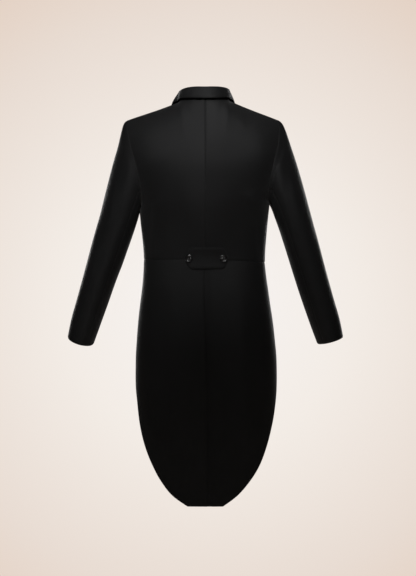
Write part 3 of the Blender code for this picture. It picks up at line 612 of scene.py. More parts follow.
def clear_of_body(side, point):
    """Move a sleeve point outwards, where it must, so that it hangs just clear of the body."""
    drop = -point[2]
    depth = BACK_DEPTH(drop) if point[1] < 0 else FRONT_DEPTH(drop)
    part = min(abs(point[1]) / depth, 1.0)
    power = SQUARENESS(drop)
    half = HALF_WIDTH[side](drop) * (1 - part ** power) ** (1 / power)
    point[0] = side * max(abs(point[0]), half + SLEEVE_CLEARANCE)
    return point


def sleeve_start(side, angle, reach):
    """Point just past the armhole seam, in the direction in which the cloth crosses it."""
    seam = armhole_point(side, math.degrees(angle) % 360)
    under = ((1 - math.cos(angle)) / 2) ** 2
    over_top = unit(np.array([side, CAP_TURN * math.sin(angle), -CAP_SLOPE * math.cos(angle / 2) ** 2]))
    out = unit(blend(over_top, np.array([side, 0.0, 0.0]), under))
    return seam + reach * out


def sleeve_rows(side, angles):
    """Rows of points down one piece of a sleeve; it is drawn in a little where the seam bends most."""
    middle = (angles[0] + angles[-1]) / 2
    near = [blend(a, middle, SLEEVE_DRAWN_IN) for a in angles]
    rows = [[sleeve_start(side, a, SLEEVE_GAP) for a in near]]
    strip = [SLEEVE_GAP + SEAM_STRIP * blend(UNDER_STRIP, 1.0, (1 + math.cos(a)) / 2) for a in near]
    rows.append([sleeve_start(side, a, reach) for a, reach in zip(near, strip)])
    for row in range(len(SLEEVE_RINGS)):
        drawn_in = SLEEVE_DRAWN_IN * ease(1 - row / SLEEVE_DRAWN_ROWS)
        at = [blend(a, middle, drawn_in) for a in angles]
        rows.append([clear_of_body(side, sleeve_ring(side, row, a)) for a in at])
    return rows


def shares(count, length, first=True, last=True):
    """Even shares from 0 to 1, with a narrow strip beside each seam so the walls meet square."""
    strip = SEAM_STRIP / length
    lower = strip if first else 0.0
    upper = 1 - strip if last else 1.0
    inner = list(np.linspace(lower, upper, count + 1))
    return ([0.0] if first else []) + inner + ([1.0] if last else [])


BODY_ROWS = shares(6, 150, last=False)[:-1]
BODY_ROWS += list(np.arange(1.0, 2.0, ARMHOLE_STEP / 90))
BODY_ROWS += [2 + f for f in shares(CAP_STEPS, 150, first=False)]


def moved_out(place, side, u, v, reach):
    """Point on a panel moved off its face."""
    step = SLOPE_STEP
    here = place(side, u, v)
    along = place(side, u + step, v) - place(side, u - step, v)
    up = place(side, u, v) - place(side, u, v - step)
    normal = unit(np.cross(along, up)) * side * (1 if place is back_point else -1)
    return here + normal * reach


def front_at_width(side, v, width):
    """The u on the front panel that lies this far from its front edge."""
    edge = front_point(side, 0.0, v)
    low, high = 0.0, 1.0
    for _ in range(HALVINGS):
        u = (low + high) / 2
        if np.linalg.norm(front_point(side, u, v) - edge) < width:
            low = u
        else:
            high = u
    return u


def lapel_place(side, s, w):
    """Place on the front panel under the lapel: s up from the break, w out from the roll line."""
    if w < NOTCH_SHARE:
        top = blend(GORGE_ROW, NOTCH_ROW, w / NOTCH_SHARE)
    else:
        top = blend(NOTCH_ROW, PEAK_ROW, (w - NOTCH_SHARE) / (1 - NOTCH_SHARE))
    v = blend(BREAK_ROW, top, s)
    return front_at_width(side, v, w * float(LAPEL_WIDTH(s))), v


def collar_foot(side, place):
    """Foot of the collar: on the back neck to the neck point, then down the front edge to the gorge."""
    inwards = np.array([-side * COLLAR_INWARDS * ease((place - INWARDS_FROM) / INWARDS_OVER), 0.0, LAY])
    if place <= 1:
        return back_top(side, BACK_NECK_SHARE * place) + inwards
    return front_point(side, 0.0, blend(3.0, COLLAR_END_ROW, (place - 1) / 2)) + inwards


STAND_CURVE = curve(COLLAR_STAND[:, 0], COLLAR_STAND[:, 1:])
BACK_FALL_CURVE = curve(FALL_ON_BACK[:, 0], FALL_ON_BACK[:, 1:])
FRONT_FALL_CURVE = curve(FALL_ON_FRONT[:, 0], FALL_ON_FRONT[:, 1:])


def fall_edge(side, place):
    """Edge of the collar fall, and its height off the panel on which it lies."""
    table = BACK_FALL_CURVE if place <= 1 else FRONT_FALL_CURVE
    left, right, v, off = table(place)
    panel = back_point if place <= 1 else front_point
    return moved_out(panel, side, left if side < 0 else right, v, off), off


def clear_of_front(side, point, off):
    """Raise a point, where it must, so that it is this far off the front panel."""
    u, v = NEAREST_FROM
    step = SLOPE_STEP
    for _ in range(NEAREST_STEPS):
        here = front_point(side, u, v)
        along = (front_point(side, u + step, v) - here) / step
        up = (here - front_point(side, u, v - step)) / step
        moves = np.linalg.lstsq(np.column_stack([along, up]), point - here, rcond=None)[0]
        u = min(max(u + moves[0], 0.0), NEAREST_LAST_U)
        v = min(max(v + moves[1], 2.0), 3.0)
    normal = moved_out(front_point, side, u, v, 1.0) - front_point(side, u, v)
    height = float(np.dot(point - front_point(side, u, v), normal))
    return point + normal * max(off - height, 0.0)


def collar_neck_row(side, place):
    """Points across the collar round the neck, from its foot over the fold to the fall edge."""
    lean, height = STAND_CURVE(place)
    foot = collar_foot(side, place)
    inward = -unit(np.array([foot[0], foot[1] - NECK_MIDDLE_Y, 0.0]))
    up = unit(blend(np.array([0.0, 0.0, 1.0]), np.array([0.0, 1.0, 0.3]), ease(place - 1.2)))
    fold = foot + inward * lean + up * height
    edge = fall_edge(side, place)[0]
    rise = unit(fold - foot)
    out = edge - fold
    across = unit(out - rise * np.dot(out, rise))
    roll = min(COLLAR_ROLL, np.linalg.norm(fold - foot) * 0.6)
    row = [foot, blend(foot, fold - rise * roll, 0.5), fold - rise * roll]
    row.append(fold - rise * roll * 0.3 + across * roll * 0.3)
    row.append(fold + across * roll)
    row.append(fold + across * roll * 1.9 - rise * roll * 0.35)
    last = row[-1]
    for f in (0.33, 0.67, 1.0):
        row.append(blend(last, edge, f) + across * math.sin(math.pi * f))
    return row


def collar_end_row(side, above):
    """Points across the end of the collar, lying along the gorge on the front."""
    row = []
    for share, off, inwards in COLLAR_END:
        v = blend(COLLAR_END_ROW, NOTCH_ROW + GORGE_GAP, share) + above
        width = NOTCH_SHARE * float(LAPEL_WIDTH(1.0)) * share
        point = moved_out(front_point, side, front_at_width(side, v, width), v, off)
        row.append(point - np.array([side * inwards, 0.0, 0.0]))
    return row


def collar_row(side, place):
    """Points across the collar at any place; its last strip is square to the gorge."""
    row = collar_neck_row(side, place)
    if place <= 1:
        return row
    above = COLLAR_STRIP * min((3 - place) / (3 - COLLAR_STRIP_PLACE), 1.0)
    near_end = ease((place - 2) / (COLLAR_STRIP_PLACE - 2))
    row = [blend(a, b, near_end) for a, b in zip(row, collar_end_row(side, above))]
    off = fall_edge(side, place)[1]
    return row[:4] + [clear_of_front(side, point, off) for point in row[4:]]


def back_face(x, drop, reach):
    """Point on the back at the waist, moved off its face, and the direction of the face."""
    def place(x, drop):
        side = 1 if x > 0 else -1
        return section_point(side, drop, angle_at_x(x, side, drop))

    across = place(x + 1, drop) - place(x - 1, drop)
    normal = unit(np.cross(across, place(x, drop - 1) - place(x, drop + 1)))
    return place(x, drop) + normal * reach, normal


# Fine cloth surfaces

GRID_STEP = 5.0
EDGE_STATIONS = (0.7, 1.6, 3.0, 5.0)
PAST_EDGE_STATIONS = 6.5
SHELL = 1.3

# How far the cloth is turned in at the top, bottom, left and right edge of a piece
SEWN_ALL = (4.0, 4.0, 4.0, 4.0)
LAID_ALL = (0.9, 0.9, 0.9, 0.9)
CUFF_SEWN = (4.0, 12.0, 4.0, 4.0)
COLLAR_LAID = (0.9, 0.9, 0.6, 0.9)

ALL_SIDES = ("top", "bottom", "left", "right")


def new_object(name, data):
    obj = bpy.data.objects.new(name, data)
    bpy.context.scene.collection.objects.link(obj)
    return obj


def stations_of(points):
    """Mean running length along the first axis of a grid of points."""
    steps = np.linalg.norm(np.diff(points, axis=0), axis=2).mean(axis=1)
    return np.concatenate([[0.0], np.cumsum(steps)])


def finer(total, step):
    """Stations from 0 to a length, about a step apart, with extra ones close to both ends."""
    count = max(int(round(total / step)), 4)
    inner = [s for s in np.linspace(0, total, count + 1) if PAST_EDGE_STATIONS < s < total - PAST_EDGE_STATIONS]
    near = [s for s in EDGE_STATIONS if s < total / 3]
    return np.array([0.0] + near + inner + [total - s for s in reversed(near)] + [total])


def fine_grid(rows, step=GRID_STEP):
    """A finer grid through a coarse one, and how far each line lies from the first, down and across."""
    grid = np.array(rows, float)
    down_at = stations_of(grid)
    across_at = stations_of(grid.transpose(1, 0, 2))
    down = finer(down_at[-1], step)
    across = finer(across_at[-1], step)
    through = curve(across_at, grid.transpose(1, 0, 2))
    wide = np.array([through(t) for t in across]).transpose(1, 0, 2)
    along = curve(down_at, wide)
    return np.array([along(t) for t in down]), down, across


def face_normals(grid, flip):
    """Unit directions off the cloth's face at each point of a grid."""
    down = np.gradient(grid, axis=0)
    across = np.gradient(grid, axis=1)
    normal = np.cross(across, down)
    normal /= np.maximum(np.linalg.norm(normal, axis=2, keepdims=True), 1e-9)
    return -normal if flip else normal


def rolled_edges(down, across, sides, depth=1.0, width=2.0):
    """Relief that turns the named edges of a piece down a little, as a pressed seam or edge does."""
    top, bottom = down, down[-1] - down
    left, right = across, across[-1] - across
    relief = np.zeros((len(down), len(across)))
    for name, distance in (("top", top), ("bottom", bottom)):
        if name in sides:
            relief -= depth * np.exp(-(distance / width) ** 2)[:, None]
    for name, distance in (("left", left), ("right", right)):
        if name in sides:
            relief -= depth * np.exp(-(distance / width) ** 2)[None, :]
    return relief


def crease(grid, start, end, width, depth, share=0.55):
    """One soft fold seen square to the coat: a trough from start to end and a lesser ridge beside it."""
    a = np.array(start, float)
    line = np.array(end, float) - a
    length = np.linalg.norm(line)
    line /= length
    flat = grid[:, :, [0, 2]] - a
    along = flat @ line / length
    off = flat @ np.array([-line[1], line[0]])
    fade = (np.clip(along, 0, 1) * np.clip(1 - along, 0, 1) * 4) ** 0.6
    trough = np.exp(-(off / width) ** 2)
    ridge = np.exp(-((off - 1.7 * width) / (1.2 * width)) ** 2)
    return depth * fade * (share * ridge - trough)


def wander(grid, seed, size=90.0, height=0.5):
    """Slow seeded unevenness of hanging cloth."""
    draw = random.Random(seed)
    total = np.zeros(grid.shape[:2])
    for _ in range(5):
        direction = np.array([draw.uniform(-1, 1), draw.uniform(-1, 1), draw.uniform(-0.5, 0.5)])
        direction /= np.linalg.norm(direction)
        wave = size * draw.uniform(0.7, 1.6)
        total += np.sin(grid @ direction / wave * 2 * math.pi + draw.uniform(0, 6.28))
    return total * height / 5


def turned_in(grid, down, across, normals, turns):
    """The grid with its edges turned in by the lengths named for its top, bottom, left and right."""
    top, bottom, left, right = turns
    grid = np.vstack([(grid[0] - normals[0] * top)[None], grid, (grid[-1] - normals[-1] * bottom)[None]])
    normals = np.vstack([normals[:1], normals, normals[-1:]])
    first = (grid[:, 0] - normals[:, 0] * left)[:, None]
    last = (grid[:, -1] - normals[:, -1] * right)[:, None]
    down = np.concatenate([[down[0] - top], down, [down[-1] + bottom]])
    across = np.concatenate([[across[0] - left], across, [across[-1] + right]])
    return np.hstack([first, grid, last]), down, across


def shell(name, grid, down, across, material, flip, wall=SHELL):
    """Mesh of one cloth piece, with its lengths in metres as texture coordinates, given its wall."""
    rows, columns = grid.shape[:2]
    points = (grid * MM).reshape(-1, 3)
    faces = []
    for i in range(rows - 1):
        for j in range(columns - 1):
            a = i * columns + j
            quad = (a, a + 1, a + columns + 1, a + columns)
            faces.append(quad[::-1] if flip else quad)
    mesh = bpy.data.meshes.new(name)
    mesh.from_pydata(points.tolist(), [], faces)
    layer = mesh.uv_layers.new(name="UVMap")
    place = [(x * MM, y * MM) for y in down for x in across]
    for loop in mesh.loops:
        layer.data[loop.index].uv = place[loop.vertex_index]
    mesh.shade_smooth()
    mesh.materials.append(material)
    obj = new_object(name, mesh)
    solid = obj.modifiers.new("Wall", "SOLIDIFY")
    solid.thickness = wall * MM
    solid.offset = -1.0
    return obj


def finish_piece(obj, nodes):
    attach(obj, "root")
    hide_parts(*nodes)


def lay_cloth(name, node, rows, material, flip, sides, folds=(), seed=0,
              height=0.5, step=GRID_STEP, wall=SHELL, turns=SEWN_ALL, relief_of=None):
    """Build and relieve one cut piece of the coat, hang it on the root and hide the solid it stands for."""
    grid, down, across = fine_grid(rows, step)
    relief = rolled_edges(down, across, sides) + wander(grid, seed, height=height)
    for fold in folds:
        relief += crease(grid, *fold)
    if relief_of:
        relief += relief_of(grid, down, across)
    grid = grid + face_normals(grid, flip) * relief[:, :, None]
    grid, down, across = turned_in(grid, down, across, face_normals(grid, flip), turns)
    obj = shell(name, grid, down, across, material, flip, wall)
    finish_piece(obj, [node])


# Materials

def new_material(name):
    material = bpy.data.materials.new(name)
    material.use_nodes = True
    nodes = material.node_tree.nodes
    return material, nodes, material.node_tree.links, nodes["Principled BSDF"]


def add(nodes, kind, **values):
    node = nodes.new(kind)
    for name, value in values.items():
        if name in node.inputs:
            node.inputs[name].default_value = value
        else:
            setattr(node, name, value)
    return node


def maths(nodes, links, operation, first, second):
    """A maths node on two values or sockets."""
    node = nodes.new("ShaderNodeMath")
    node.operation = operation
    for socket, value in zip(node.inputs, (first, second)):
        if isinstance(value, (int, float)):
            socket.default_value = value
        else:
            links.new(value, socket)
    return node.outputs[0]


def ramp(nodes, links, source, stops):
    """Colours by a value, from rows of place and colour."""
    node = nodes.new("ShaderNodeValToRGB")
    elements = node.color_ramp.elements
    while len(elements) < len(stops):
        elements.new(0.5)
    for element, (position, colour) in zip(elements, stops):
        element.position = position
        element.color = (*colour, 1)
    links.new(source, node.inputs[0])
    return node.outputs[0]


# A wave texture repeats every 0.314 / Scale across and every 0.444 / Scale on the diagonal
RIB_WAVE = 0.314
TWILL_WAVE = 0.444


def cloth_material(name, dark, light, thread, rough, sheen, sheen_rough, level, bump, rib=False):
    """Woven cloth: threads by their real size, faint unevenness of colour and a soft nap."""
    material, nodes, links, shader = new_material(name)
    shader.inputs["Sheen Weight"].default_value = sheen
    shader.inputs["Sheen Roughness"].default_value = sheen_rough
    shader.inputs["Specular IOR Level"].default_value = level
    uv = add(nodes, "ShaderNodeUVMap", uv_map="UVMap")
    weave = add(nodes, "ShaderNodeTexWave", Scale=(RIB_WAVE if rib else TWILL_WAVE) / thread, Distortion=0.6)
    weave.wave_type = "BANDS"
    weave.bands_direction = "X" if rib else "DIAGONAL"
    links.new(uv.outputs[0], weave.inputs["Vector"])
    slub = add(nodes, "ShaderNodeTexNoise", Scale=0.35 / thread, Detail=3.0, Roughness=0.6)
    links.new(uv.outputs[0], slub.inputs["Vector"])
    cloud = add(nodes, "ShaderNodeTexNoise", Scale=9.0, Detail=4.0, Roughness=0.55)
    place = add(nodes, "ShaderNodeTexCoord")
    links.new(place.outputs["Object"], cloud.inputs["Vector"])
    yarn = maths(nodes, links, "MULTIPLY", weave.outputs["Fac"], 0.6)
    yarn = maths(nodes, links, "ADD", yarn, maths(nodes, links, "MULTIPLY", slub.outputs[0], 0.4))
    tone = maths(nodes, links, "ADD", maths(nodes, links, "MULTIPLY", yarn, 0.55),
                 maths(nodes, links, "MULTIPLY", cloud.outputs[0], 0.45))
    links.new(ramp(nodes, links, tone, ((0.25, dark), (0.75, light))), shader.inputs["Base Color"])
    roughness = maths(nodes, links, "ADD", maths(nodes, links, "MULTIPLY", yarn, 0.12), rough - 0.06)
    links.new(roughness, shader.inputs["Roughness"])
    relief = add(nodes, "ShaderNodeBump", Strength=bump, Distance=thread * 0.5)
    links.new(yarn, relief.inputs["Height"])
    links.new(relief.outputs[0], shader.inputs["Normal"])
    return material


def button_material(name):
    material, nodes, links, shader = new_material(name)
    shader.inputs["Specular IOR Level"].default_value = 0.6
    shader.inputs["Coat Weight"].default_value = 0.4
    shader.inputs["Coat Roughness"].default_value = 0.12
    place = add(nodes, "ShaderNodeTexCoord")
    swirl = add(nodes, "ShaderNodeTexNoise", Scale=260.0, Detail=5.0, Roughness=0.6, Distortion=1.2)
    links.new(place.outputs["Object"], swirl.inputs["Vector"])
    stops = ((0.35, (0.003, 0.003, 0.0035)), (0.7, (0.011, 0.0105, 0.0105)))
    links.new(ramp(nodes, links, swirl.outputs[0], stops), shader.inputs["Base Color"])
    roughness = maths(nodes, links, "ADD", maths(nodes, links, "MULTIPLY", swirl.outputs[0], 0.16), 0.16)
    links.new(roughness, shader.inputs["Roughness"])
    relief = add(nodes, "ShaderNodeBump", Strength=0.15, Distance=0.0001)
    links.new(swirl.outputs[0], relief.inputs["Height"])
    links.new(relief.outputs[0], shader.inputs["Normal"])
    return material


def thread_material(name):
    material, nodes, links, shader = new_material(name)
    shader.inputs["Specular IOR Level"].default_value = 0.3
    place = add(nodes, "ShaderNodeTexCoord")
    twist = add(nodes, "ShaderNodeTexNoise", Scale=1500.0, Detail=2.0)
    links.new(place.outputs["Object"], twist.inputs["Vector"])
    stops = ((0.3, (0.002, 0.002, 0.0025)), (0.7, (0.007, 0.007, 0.0075)))
    links.new(ramp(nodes, links, twist.outputs[0], stops), shader.inputs["Base Color"])
    roughness = maths(nodes, links, "ADD", maths(nodes, links, "MULTIPLY", twist.outputs[0], 0.2), 0.4)
    links.new(roughness, shader.inputs["Roughness"])
    return material


WOOL = cloth_material("black_wool", (0.0020, 0.0020, 0.0023), (0.0050, 0.0050, 0.0053), 0.0007,
                      0.62, 0.06, 0.5, 0.22, 0.5)
SILK = cloth_material("black_silk", (0.0030, 0.0030, 0.0033), (0.0075, 0.0075, 0.0079), 0.0009,
                      0.36, 0.05, 0.35, 0.5, 0.35, rib=True)
BUTTON = button_material("black_button")
THREAD = thread_material("black_thread")


# Body panels

# Soft folds seen square to the coat: start x, z, end x, z, half width, depth
FOLDS = {
    "back_left": [
        ((-150.0, -265.0), (-158.0, -420.0), 11.0, 2.6),
        ((-118.0, -300.0), (-140.0, -410.0), 13.0, 1.3),
        ((-60.0, -60.0), (-150.0, -150.0), 20.0, 1.0),
        ((-96.0, -190.0), (-60.0, -395.0), 22.0, 1.1),
    ],
    "back_right": [
        ((140.0, -290.0), (152.0, -425.0), 10.0, 1.9),
        ((62.0, -58.0), (150.0, -128.0), 18.0, 1.3),
        ((112.0, -210.0), (70.0, -400.0), 24.0, 1.0),
    ],
    "front_left": [
        ((-150.0, -285.0), (-128.0, -400.0), 12.0, 1.6),
        ((-140.0, -90.0), (-150.0, -200.0), 15.0, 1.3),
    ],
    "front_right": [
        ((146.0, -280.0), (120.0, -405.0), 13.0, 1.5),
        ((132.0, -88.0), (146.0, -190.0), 14.0, 1.2),
    ],
    "tail_left": [
        ((-52.0, -470.0), (-66.0, -1010.0), 26.0, 2.4),
        ((-120.0, -500.0), (-132.0, -900.0), 30.0, 2.0),
        ((-14.0, -560.0), (-20.0, -1060.0), 13.0, 1.2),
    ],
    "tail_right": [
        ((60.0, -480.0), (72.0, -1000.0), 28.0, 2.2),
        ((128.0, -520.0), (140.0, -880.0), 27.0, 2.1),
        ((26.0, -600.0), (30.0, -1060.0), 14.0, 1.1),
    ],
}


def back_rows(side):
    us = [BACK_NECK_SHARE * f for f in shares(6, 100, last=False)][:-1]
    us += [BACK_NECK_SHARE + (1 - BACK_NECK_SHARE) * f for f in shares(9, 140, first=False)]
    rows = []
    for v in BODY_ROWS:
        row = [back_point(side, u, v) for u in us]
        row[0][0] = side * SEAM / 2
        if v <= 1:
            row[-1][1] = -SEAM / 2
        rows.append(row)
    return rows


def front_rows(side):
    rows = []
    for v in BODY_ROWS:
        row = [front_point(side, u, v) for u in shares(12, 150, first=False)]
        if v <= 1:
            row[-1][1] = SEAM / 2
        if v == BODY_ROWS[-1]:
            for point in row:
                point[1] += SEAM
        rows.append(row)
    return rows


def tail_rows(side):
    us = shares(12, 300, last=False)
    if side > 0:
        us = UNDERLAP_COLUMNS + us
    down = [1 - (1 - f) ** TAIL_CROWDING for f in np.linspace(0, 1, 26)]
    vs = [0.0] + [blend(TAIL_STRIP, 1.0, f) for f in down]
    return [[tail_point(side, u, v) for u in us] for v in vs]


WAIST_TUCK = 1.3
WAIST_TUCK_RUN = 5.0


def under_waist(grid, down, across):
    """The tails start a little under the body's lower edge."""
    return -WAIST_TUCK * np.exp(-down / WAIST_TUCK_RUN)[:, None] * np.ones((1, len(across)))


def build_panels():
    for side in (-1, 1):
        name = SIDE_NAME[side]
        lay_cloth(f"back_cloth_{name}", f"back_{name}", back_rows(side), WOOL, side < 0,
                  ALL_SIDES, FOLDS[f"back_{name}"], seed=3 + side)
        lay_cloth(f"front_cloth_{name}", f"front_{name}", front_rows(side), WOOL, side > 0,
                  ALL_SIDES, FOLDS[f"front_{name}"], seed=13 + side)
        lay_cloth(f"tail_cloth_{name}", f"tail_{name}", tail_rows(side), WOOL, side > 0,
                  ALL_SIDES, FOLDS[f"tail_{name}"], seed=23 + side, height=0.8, relief_of=under_waist)


# Sleeves

# Folds of a sleeve: degrees round from the outer line by way of the back, drop, then the same at the
# end, half width and depth, for the left and the right
SLEEVE_FOLDS = {
    -1: [
        (60.0, 170.0, 95.0, 330.0, 13.0, 1.7),
        (40.0, 300.0, 80.0, 470.0, 15.0, 1.5),
        (100.0, 330.0, 60.0, 400.0, 9.0, 1.3),
        (300.0, 360.0, 250.0, 420.0, 11.0, 2.0),
        (290.0, 410.0, 240.0, 455.0, 9.0, 1.6),
        (320.0, 180.0, 280.0, 300.0, 13.0, 1.4),
        (170.0, 330.0, 190.0, 440.0, 12.0, 1.0),
    ],
    1: [
        (70.0, 160.0, 100.0, 300.0, 12.0, 1.5),
        (35.0, 330.0, 75.0, 500.0, 16.0, 1.3),
        (105.0, 350.0, 70.0, 425.0, 10.0, 1.2),
        (305.0, 370.0, 255.0, 430.0, 11.0, 1.9),
        (285.0, 420.0, 245.0, 470.0, 9.0, 1.4),
        (315.0, 190.0, 275.0, 310.0, 13.0, 1.3),
    ],
}
ARM_RADIUS = 58.0
COLUMN_ANGLE = 12


def sleeve_relief(side, grid, degrees):
    """Soft folds of a sleeve, laid out on its unrolled surface."""
    drop = -grid[:, :, 2]
    around = np.broadcast_to(np.radians(degrees)[None, :] * ARM_RADIUS, drop.shape)
    whole = 2 * math.pi * ARM_RADIUS
    relief = np.zeros(drop.shape)
    for a0, d0, a1, d1, width, depth in SLEEVE_FOLDS[side]:
        start = np.array([math.radians(a0) * ARM_RADIUS, d0])
        line = np.array([math.radians(a1) * ARM_RADIUS, d1]) - start
        length = np.linalg.norm(line)
        line /= length
        x = (around - start[0] + whole / 2) % whole - whole / 2
        y = drop - start[1]
        along = (x * line[0] + y * line[1]) / length
        off = y * line[0] - x * line[1]
        fade = np.clip(along, 0, 1) * np.clip(1 - along, 0, 1) * 4
        relief += depth * fade ** 0.7 * (0.5 * np.exp(-((off - 1.7 * width) / (1.2 * width)) ** 2)
                                         - np.exp(-(off / width) ** 2))
    return relief


def sleeve_columns(piece):
    """Degrees of a sleeve piece's columns, from its hindarm edge to its forearm edge or back."""
    gap, strip = SLEEVE_SEAM_GAP * 0.5, SLEEVE_SEAM_STRIP
    if piece == "under":
        first, last = HINDARM_ANGLE, FOREARM_ANGLE
        inner = list(np.linspace(first + COLUMN_ANGLE, last - COLUMN_ANGLE, 8))
        return [first + gap, first + strip] + inner + [last - strip, last - gap]
    inner = list(np.linspace(HINDARM_ANGLE - COLUMN_ANGLE, 0, 12))
    half = [HINDARM_ANGLE - gap, HINDARM_ANGLE - strip] + inner
    return [-a for a in half] + half[::-1][1:]


def build_sleeves():
    for side in (-1, 1):
        name = SIDE_NAME[side]
        for piece in ("top", "under"):
            degrees = sleeve_columns(piece)
            rows = sleeve_rows(side, [math.radians(a) for a in degrees])
            angle_at = curve(stations_of(np.array(rows, float).transpose(1, 0, 2)), degrees)

            def relief(grid, down, across):
                return sleeve_relief(side, grid, np.array([angle_at(t) for t in across]) % 360)

            lay_cloth(f"{piece}_sleeve_cloth_{name}", f"{piece}_sleeve_{name}", rows, WOOL, side < 0,
                      ALL_SIDES, seed=40 + side + 2 * len(piece), turns=CUFF_SEWN, relief_of=relief)


# Collar, lapels and half belt

# How far the collar's foot and the corners of its fold hang lower than the solid's, from where, over
# what run, how much of that they also lean in, and the columns about the fold that do
FOOT_DROP = 3.0
CORNER_X = 34.0
CORNER_RUN = 30.0
CORNER_LOWER = 5.0
CORNER_LEAN = 0.6
FOLD_COLUMN = 3.5
FOLD_REACH = 2.0


def collar_grid():
    """Rows across the whole collar, from the left gorge round the neck to the right one."""
    places = list(COLLAR_PLACES)
    stops = [(-1, place) for place in reversed(places)] + [(1, place) for place in places[1:]]
    rows = [collar_row(side, place) for side, place in stops]
    for row in rows:
        row[0] = row[0] - np.array([0.0, 0.0, FOOT_DROP])
        for column, point in enumerate(row[1:], 1):
            near_fold = math.exp(-((column - FOLD_COLUMN) / FOLD_REACH) ** 2)
            beyond = max(abs(point[0]) - CORNER_X, 0.0) / CORNER_RUN
            lower = min(beyond * beyond, 1.0) * CORNER_LOWER * near_fold
            row[column] = point - np.array([math.copysign(lower * CORNER_LEAN, point[0]), 0.0, lower])
    return rows


def build_collar():
    lay_cloth("collar_cloth", "collar", collar_grid(), WOOL, False, ("top", "bottom", "right"), seed=5,
              height=0.25, step=4.0,
              wall=1.6, turns=COLLAR_LAID)


def build_lapels():
    for side in (-1, 1):
        name = SIDE_NAME[side]
        rows = []
        for s in np.linspace(0, 1, LAPEL_ROWS):
            row = []
            for w in LAPEL_COLUMNS:
                u, v = lapel_place(side, s, w)
                roll = LAPEL_ROLL * ease(s * 4) * ease(1 - w / 0.5)
                row.append(moved_out(front_point, side, u, v, LAPEL_HEIGHT + roll))
            rows.append(row)
        lay_cloth(f"lapel_cloth_{name}", f"lapel_{name}", rows, SILK, side > 0, ("top", "left", "right"),
                  seed=61 + side,
                  height=0.3, step=3.5, turns=LAID_ALL)


def half_belt_rows():
    outline = curve(HALF_BELT[:, 0], HALF_BELT[:, 1])
    rows = []
    for share in BELT_ROWS:
        row = []
        for x in HALF_BELT[:, 0]:
            drop = HALF_BELT_DROP - share * float(outline(x))
            row.append(back_face(x, drop, DOUBLE_CLOTH + BELT_LAY)[0])
        rows.append(row)
    return rows


# How far the half belt stands off at its edge, how that grows towards it, the half length that does,
# and how deep and wide the buttons draw it in
BELT_STANDS_OFF = 2.8
BELT_GROWS = 2.2
BELT_HALF_LENGTH = 62.0
BELT_DRAWN_IN = 0.9
BELT_DRAWN_RADIUS = 12.0
BELT_LEAST = -0.4


def belt_relief(grid, down, across):
    """The belt is soft: it stands off a little between its buttons and is drawn in at them."""
    v = down / down[-1]
    x = grid[:, :, 0]
    relief = BELT_STANDS_OFF * (v ** BELT_GROWS)[:, None] * (1 - np.abs(x / BELT_HALF_LENGTH) ** 3)
    for side, place in BELT_BUTTON_X.items():
        far = np.hypot(x - side * place, grid[:, :, 2] + BELT_BUTTON_DROP)
        relief -= BELT_DRAWN_IN * np.exp(-(far / BELT_DRAWN_RADIUS) ** 2)
    return np.clip(relief, BELT_LEAST, None)


# Stitches: length, gap and radius of thread, and how far in from the belt's edge
STITCH = 2.3
STITCH_GAP = 0.9
STITCH_RADIUS = 0.24
BELT_STITCH_IN = 3.2
STITCH_LIFT = ((0.0, -0.25), (0.25, 0.1), (0.5, 0.2), (0.75, 0.1), (1.0, -0.25))


def build_belt():
    lay_cloth("half_belt_cloth", "half_belt", half_belt_rows(), WOOL, False, ALL_SIDES, seed=9,
              height=0.15,
              step=2.5, wall=2.0, turns=LAID_ALL, relief_of=belt_relief)
    outline = curve(HALF_BELT[:, 0], HALF_BELT[:, 1])
    first, last = HALF_BELT[0, 0] + BELT_STITCH_IN, HALF_BELT[-1, 0] - BELT_STITCH_IN
    upper = [(x, BELT_STITCH_IN - outline(x)) for x in np.linspace(first, last, 60)]
    lower = [(x, outline(x) - BELT_STITCH_IN) for x in np.linspace(last, first, 60)]
    ring = [(float(x), float(z)) for x, z in upper + lower + upper[:1]]
    faces = [back_face(x, HALF_BELT_DROP + z, DOUBLE_CLOTH + BELT_LAY) for x, z in ring]
    sew("half_belt_stitches", [place for place, _ in faces], [normal for _, normal in faces])



def tube(points, radius, sides=6):
    """Points and faces of a closed tube along a short line."""
    line = np.array(points, float)
    slopes = np.gradient(line, axis=0)
    places, faces = [], []
    for point, slope in zip(line, slopes):
        slope = unit(slope)
        first = unit(np.cross(slope, np.array([0.31, 0.2, 0.93])))
        second = np.cross(slope, first)
        for k in range(sides):
            a = 2 * math.pi * k / sides
            places.append(point + radius * (math.cos(a) * first + math.sin(a) * second))
    for i in range(len(line) - 1):
        for k in range(sides):
            a, b = i * sides + k, i * sides + (k + 1) % sides
            faces.append((a, b, b + sides, a + sides))
    faces.append(tuple(reversed(range(sides))))
    faces.append(tuple(range(len(places) - sides, len(places))))
    return places, faces


def threads(name, lines, radius):
    """One mesh of many short threads."""
    points, faces = [], []
    for line in lines:
        places, own = tube(line, radius)
        faces += [tuple(len(points) + i for i in face) for face in own]
        points += places
    mesh = bpy.data.meshes.new(name)
    mesh.from_pydata([tuple(point * MM) for point in points], [], faces)
    mesh.shade_smooth()
    mesh.materials.append(THREAD)
    obj = new_object(name, mesh)
    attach(obj, "root")


def sew(name, path, normals):
    """A row of stitches along a path on the cloth, each one rising a little out of it."""
    places = np.array(path, float)
    offs = np.array(normals, float)
    run = np.concatenate([[0.0], np.cumsum(np.linalg.norm(np.diff(places, axis=0), axis=1))])
    draw = random.Random(len(path))
    lines = []
    start = STITCH_GAP
    while start + STITCH < run[-1]:
        line = []
        for f, lift in STITCH_LIFT:
            s = start + f * STITCH
            place = [np.interp(s, run, places[:, k]) for k in range(3)]
            off = [np.interp(s, run, offs[:, k]) for k in range(3)]
            line.append(np.array(place) + np.array(off) * lift)
        lines.append(line)
        start += STITCH + STITCH_GAP * draw.uniform(0.85, 1.15)
    threads(name, lines, STITCH_RADIUS)


# Buttons

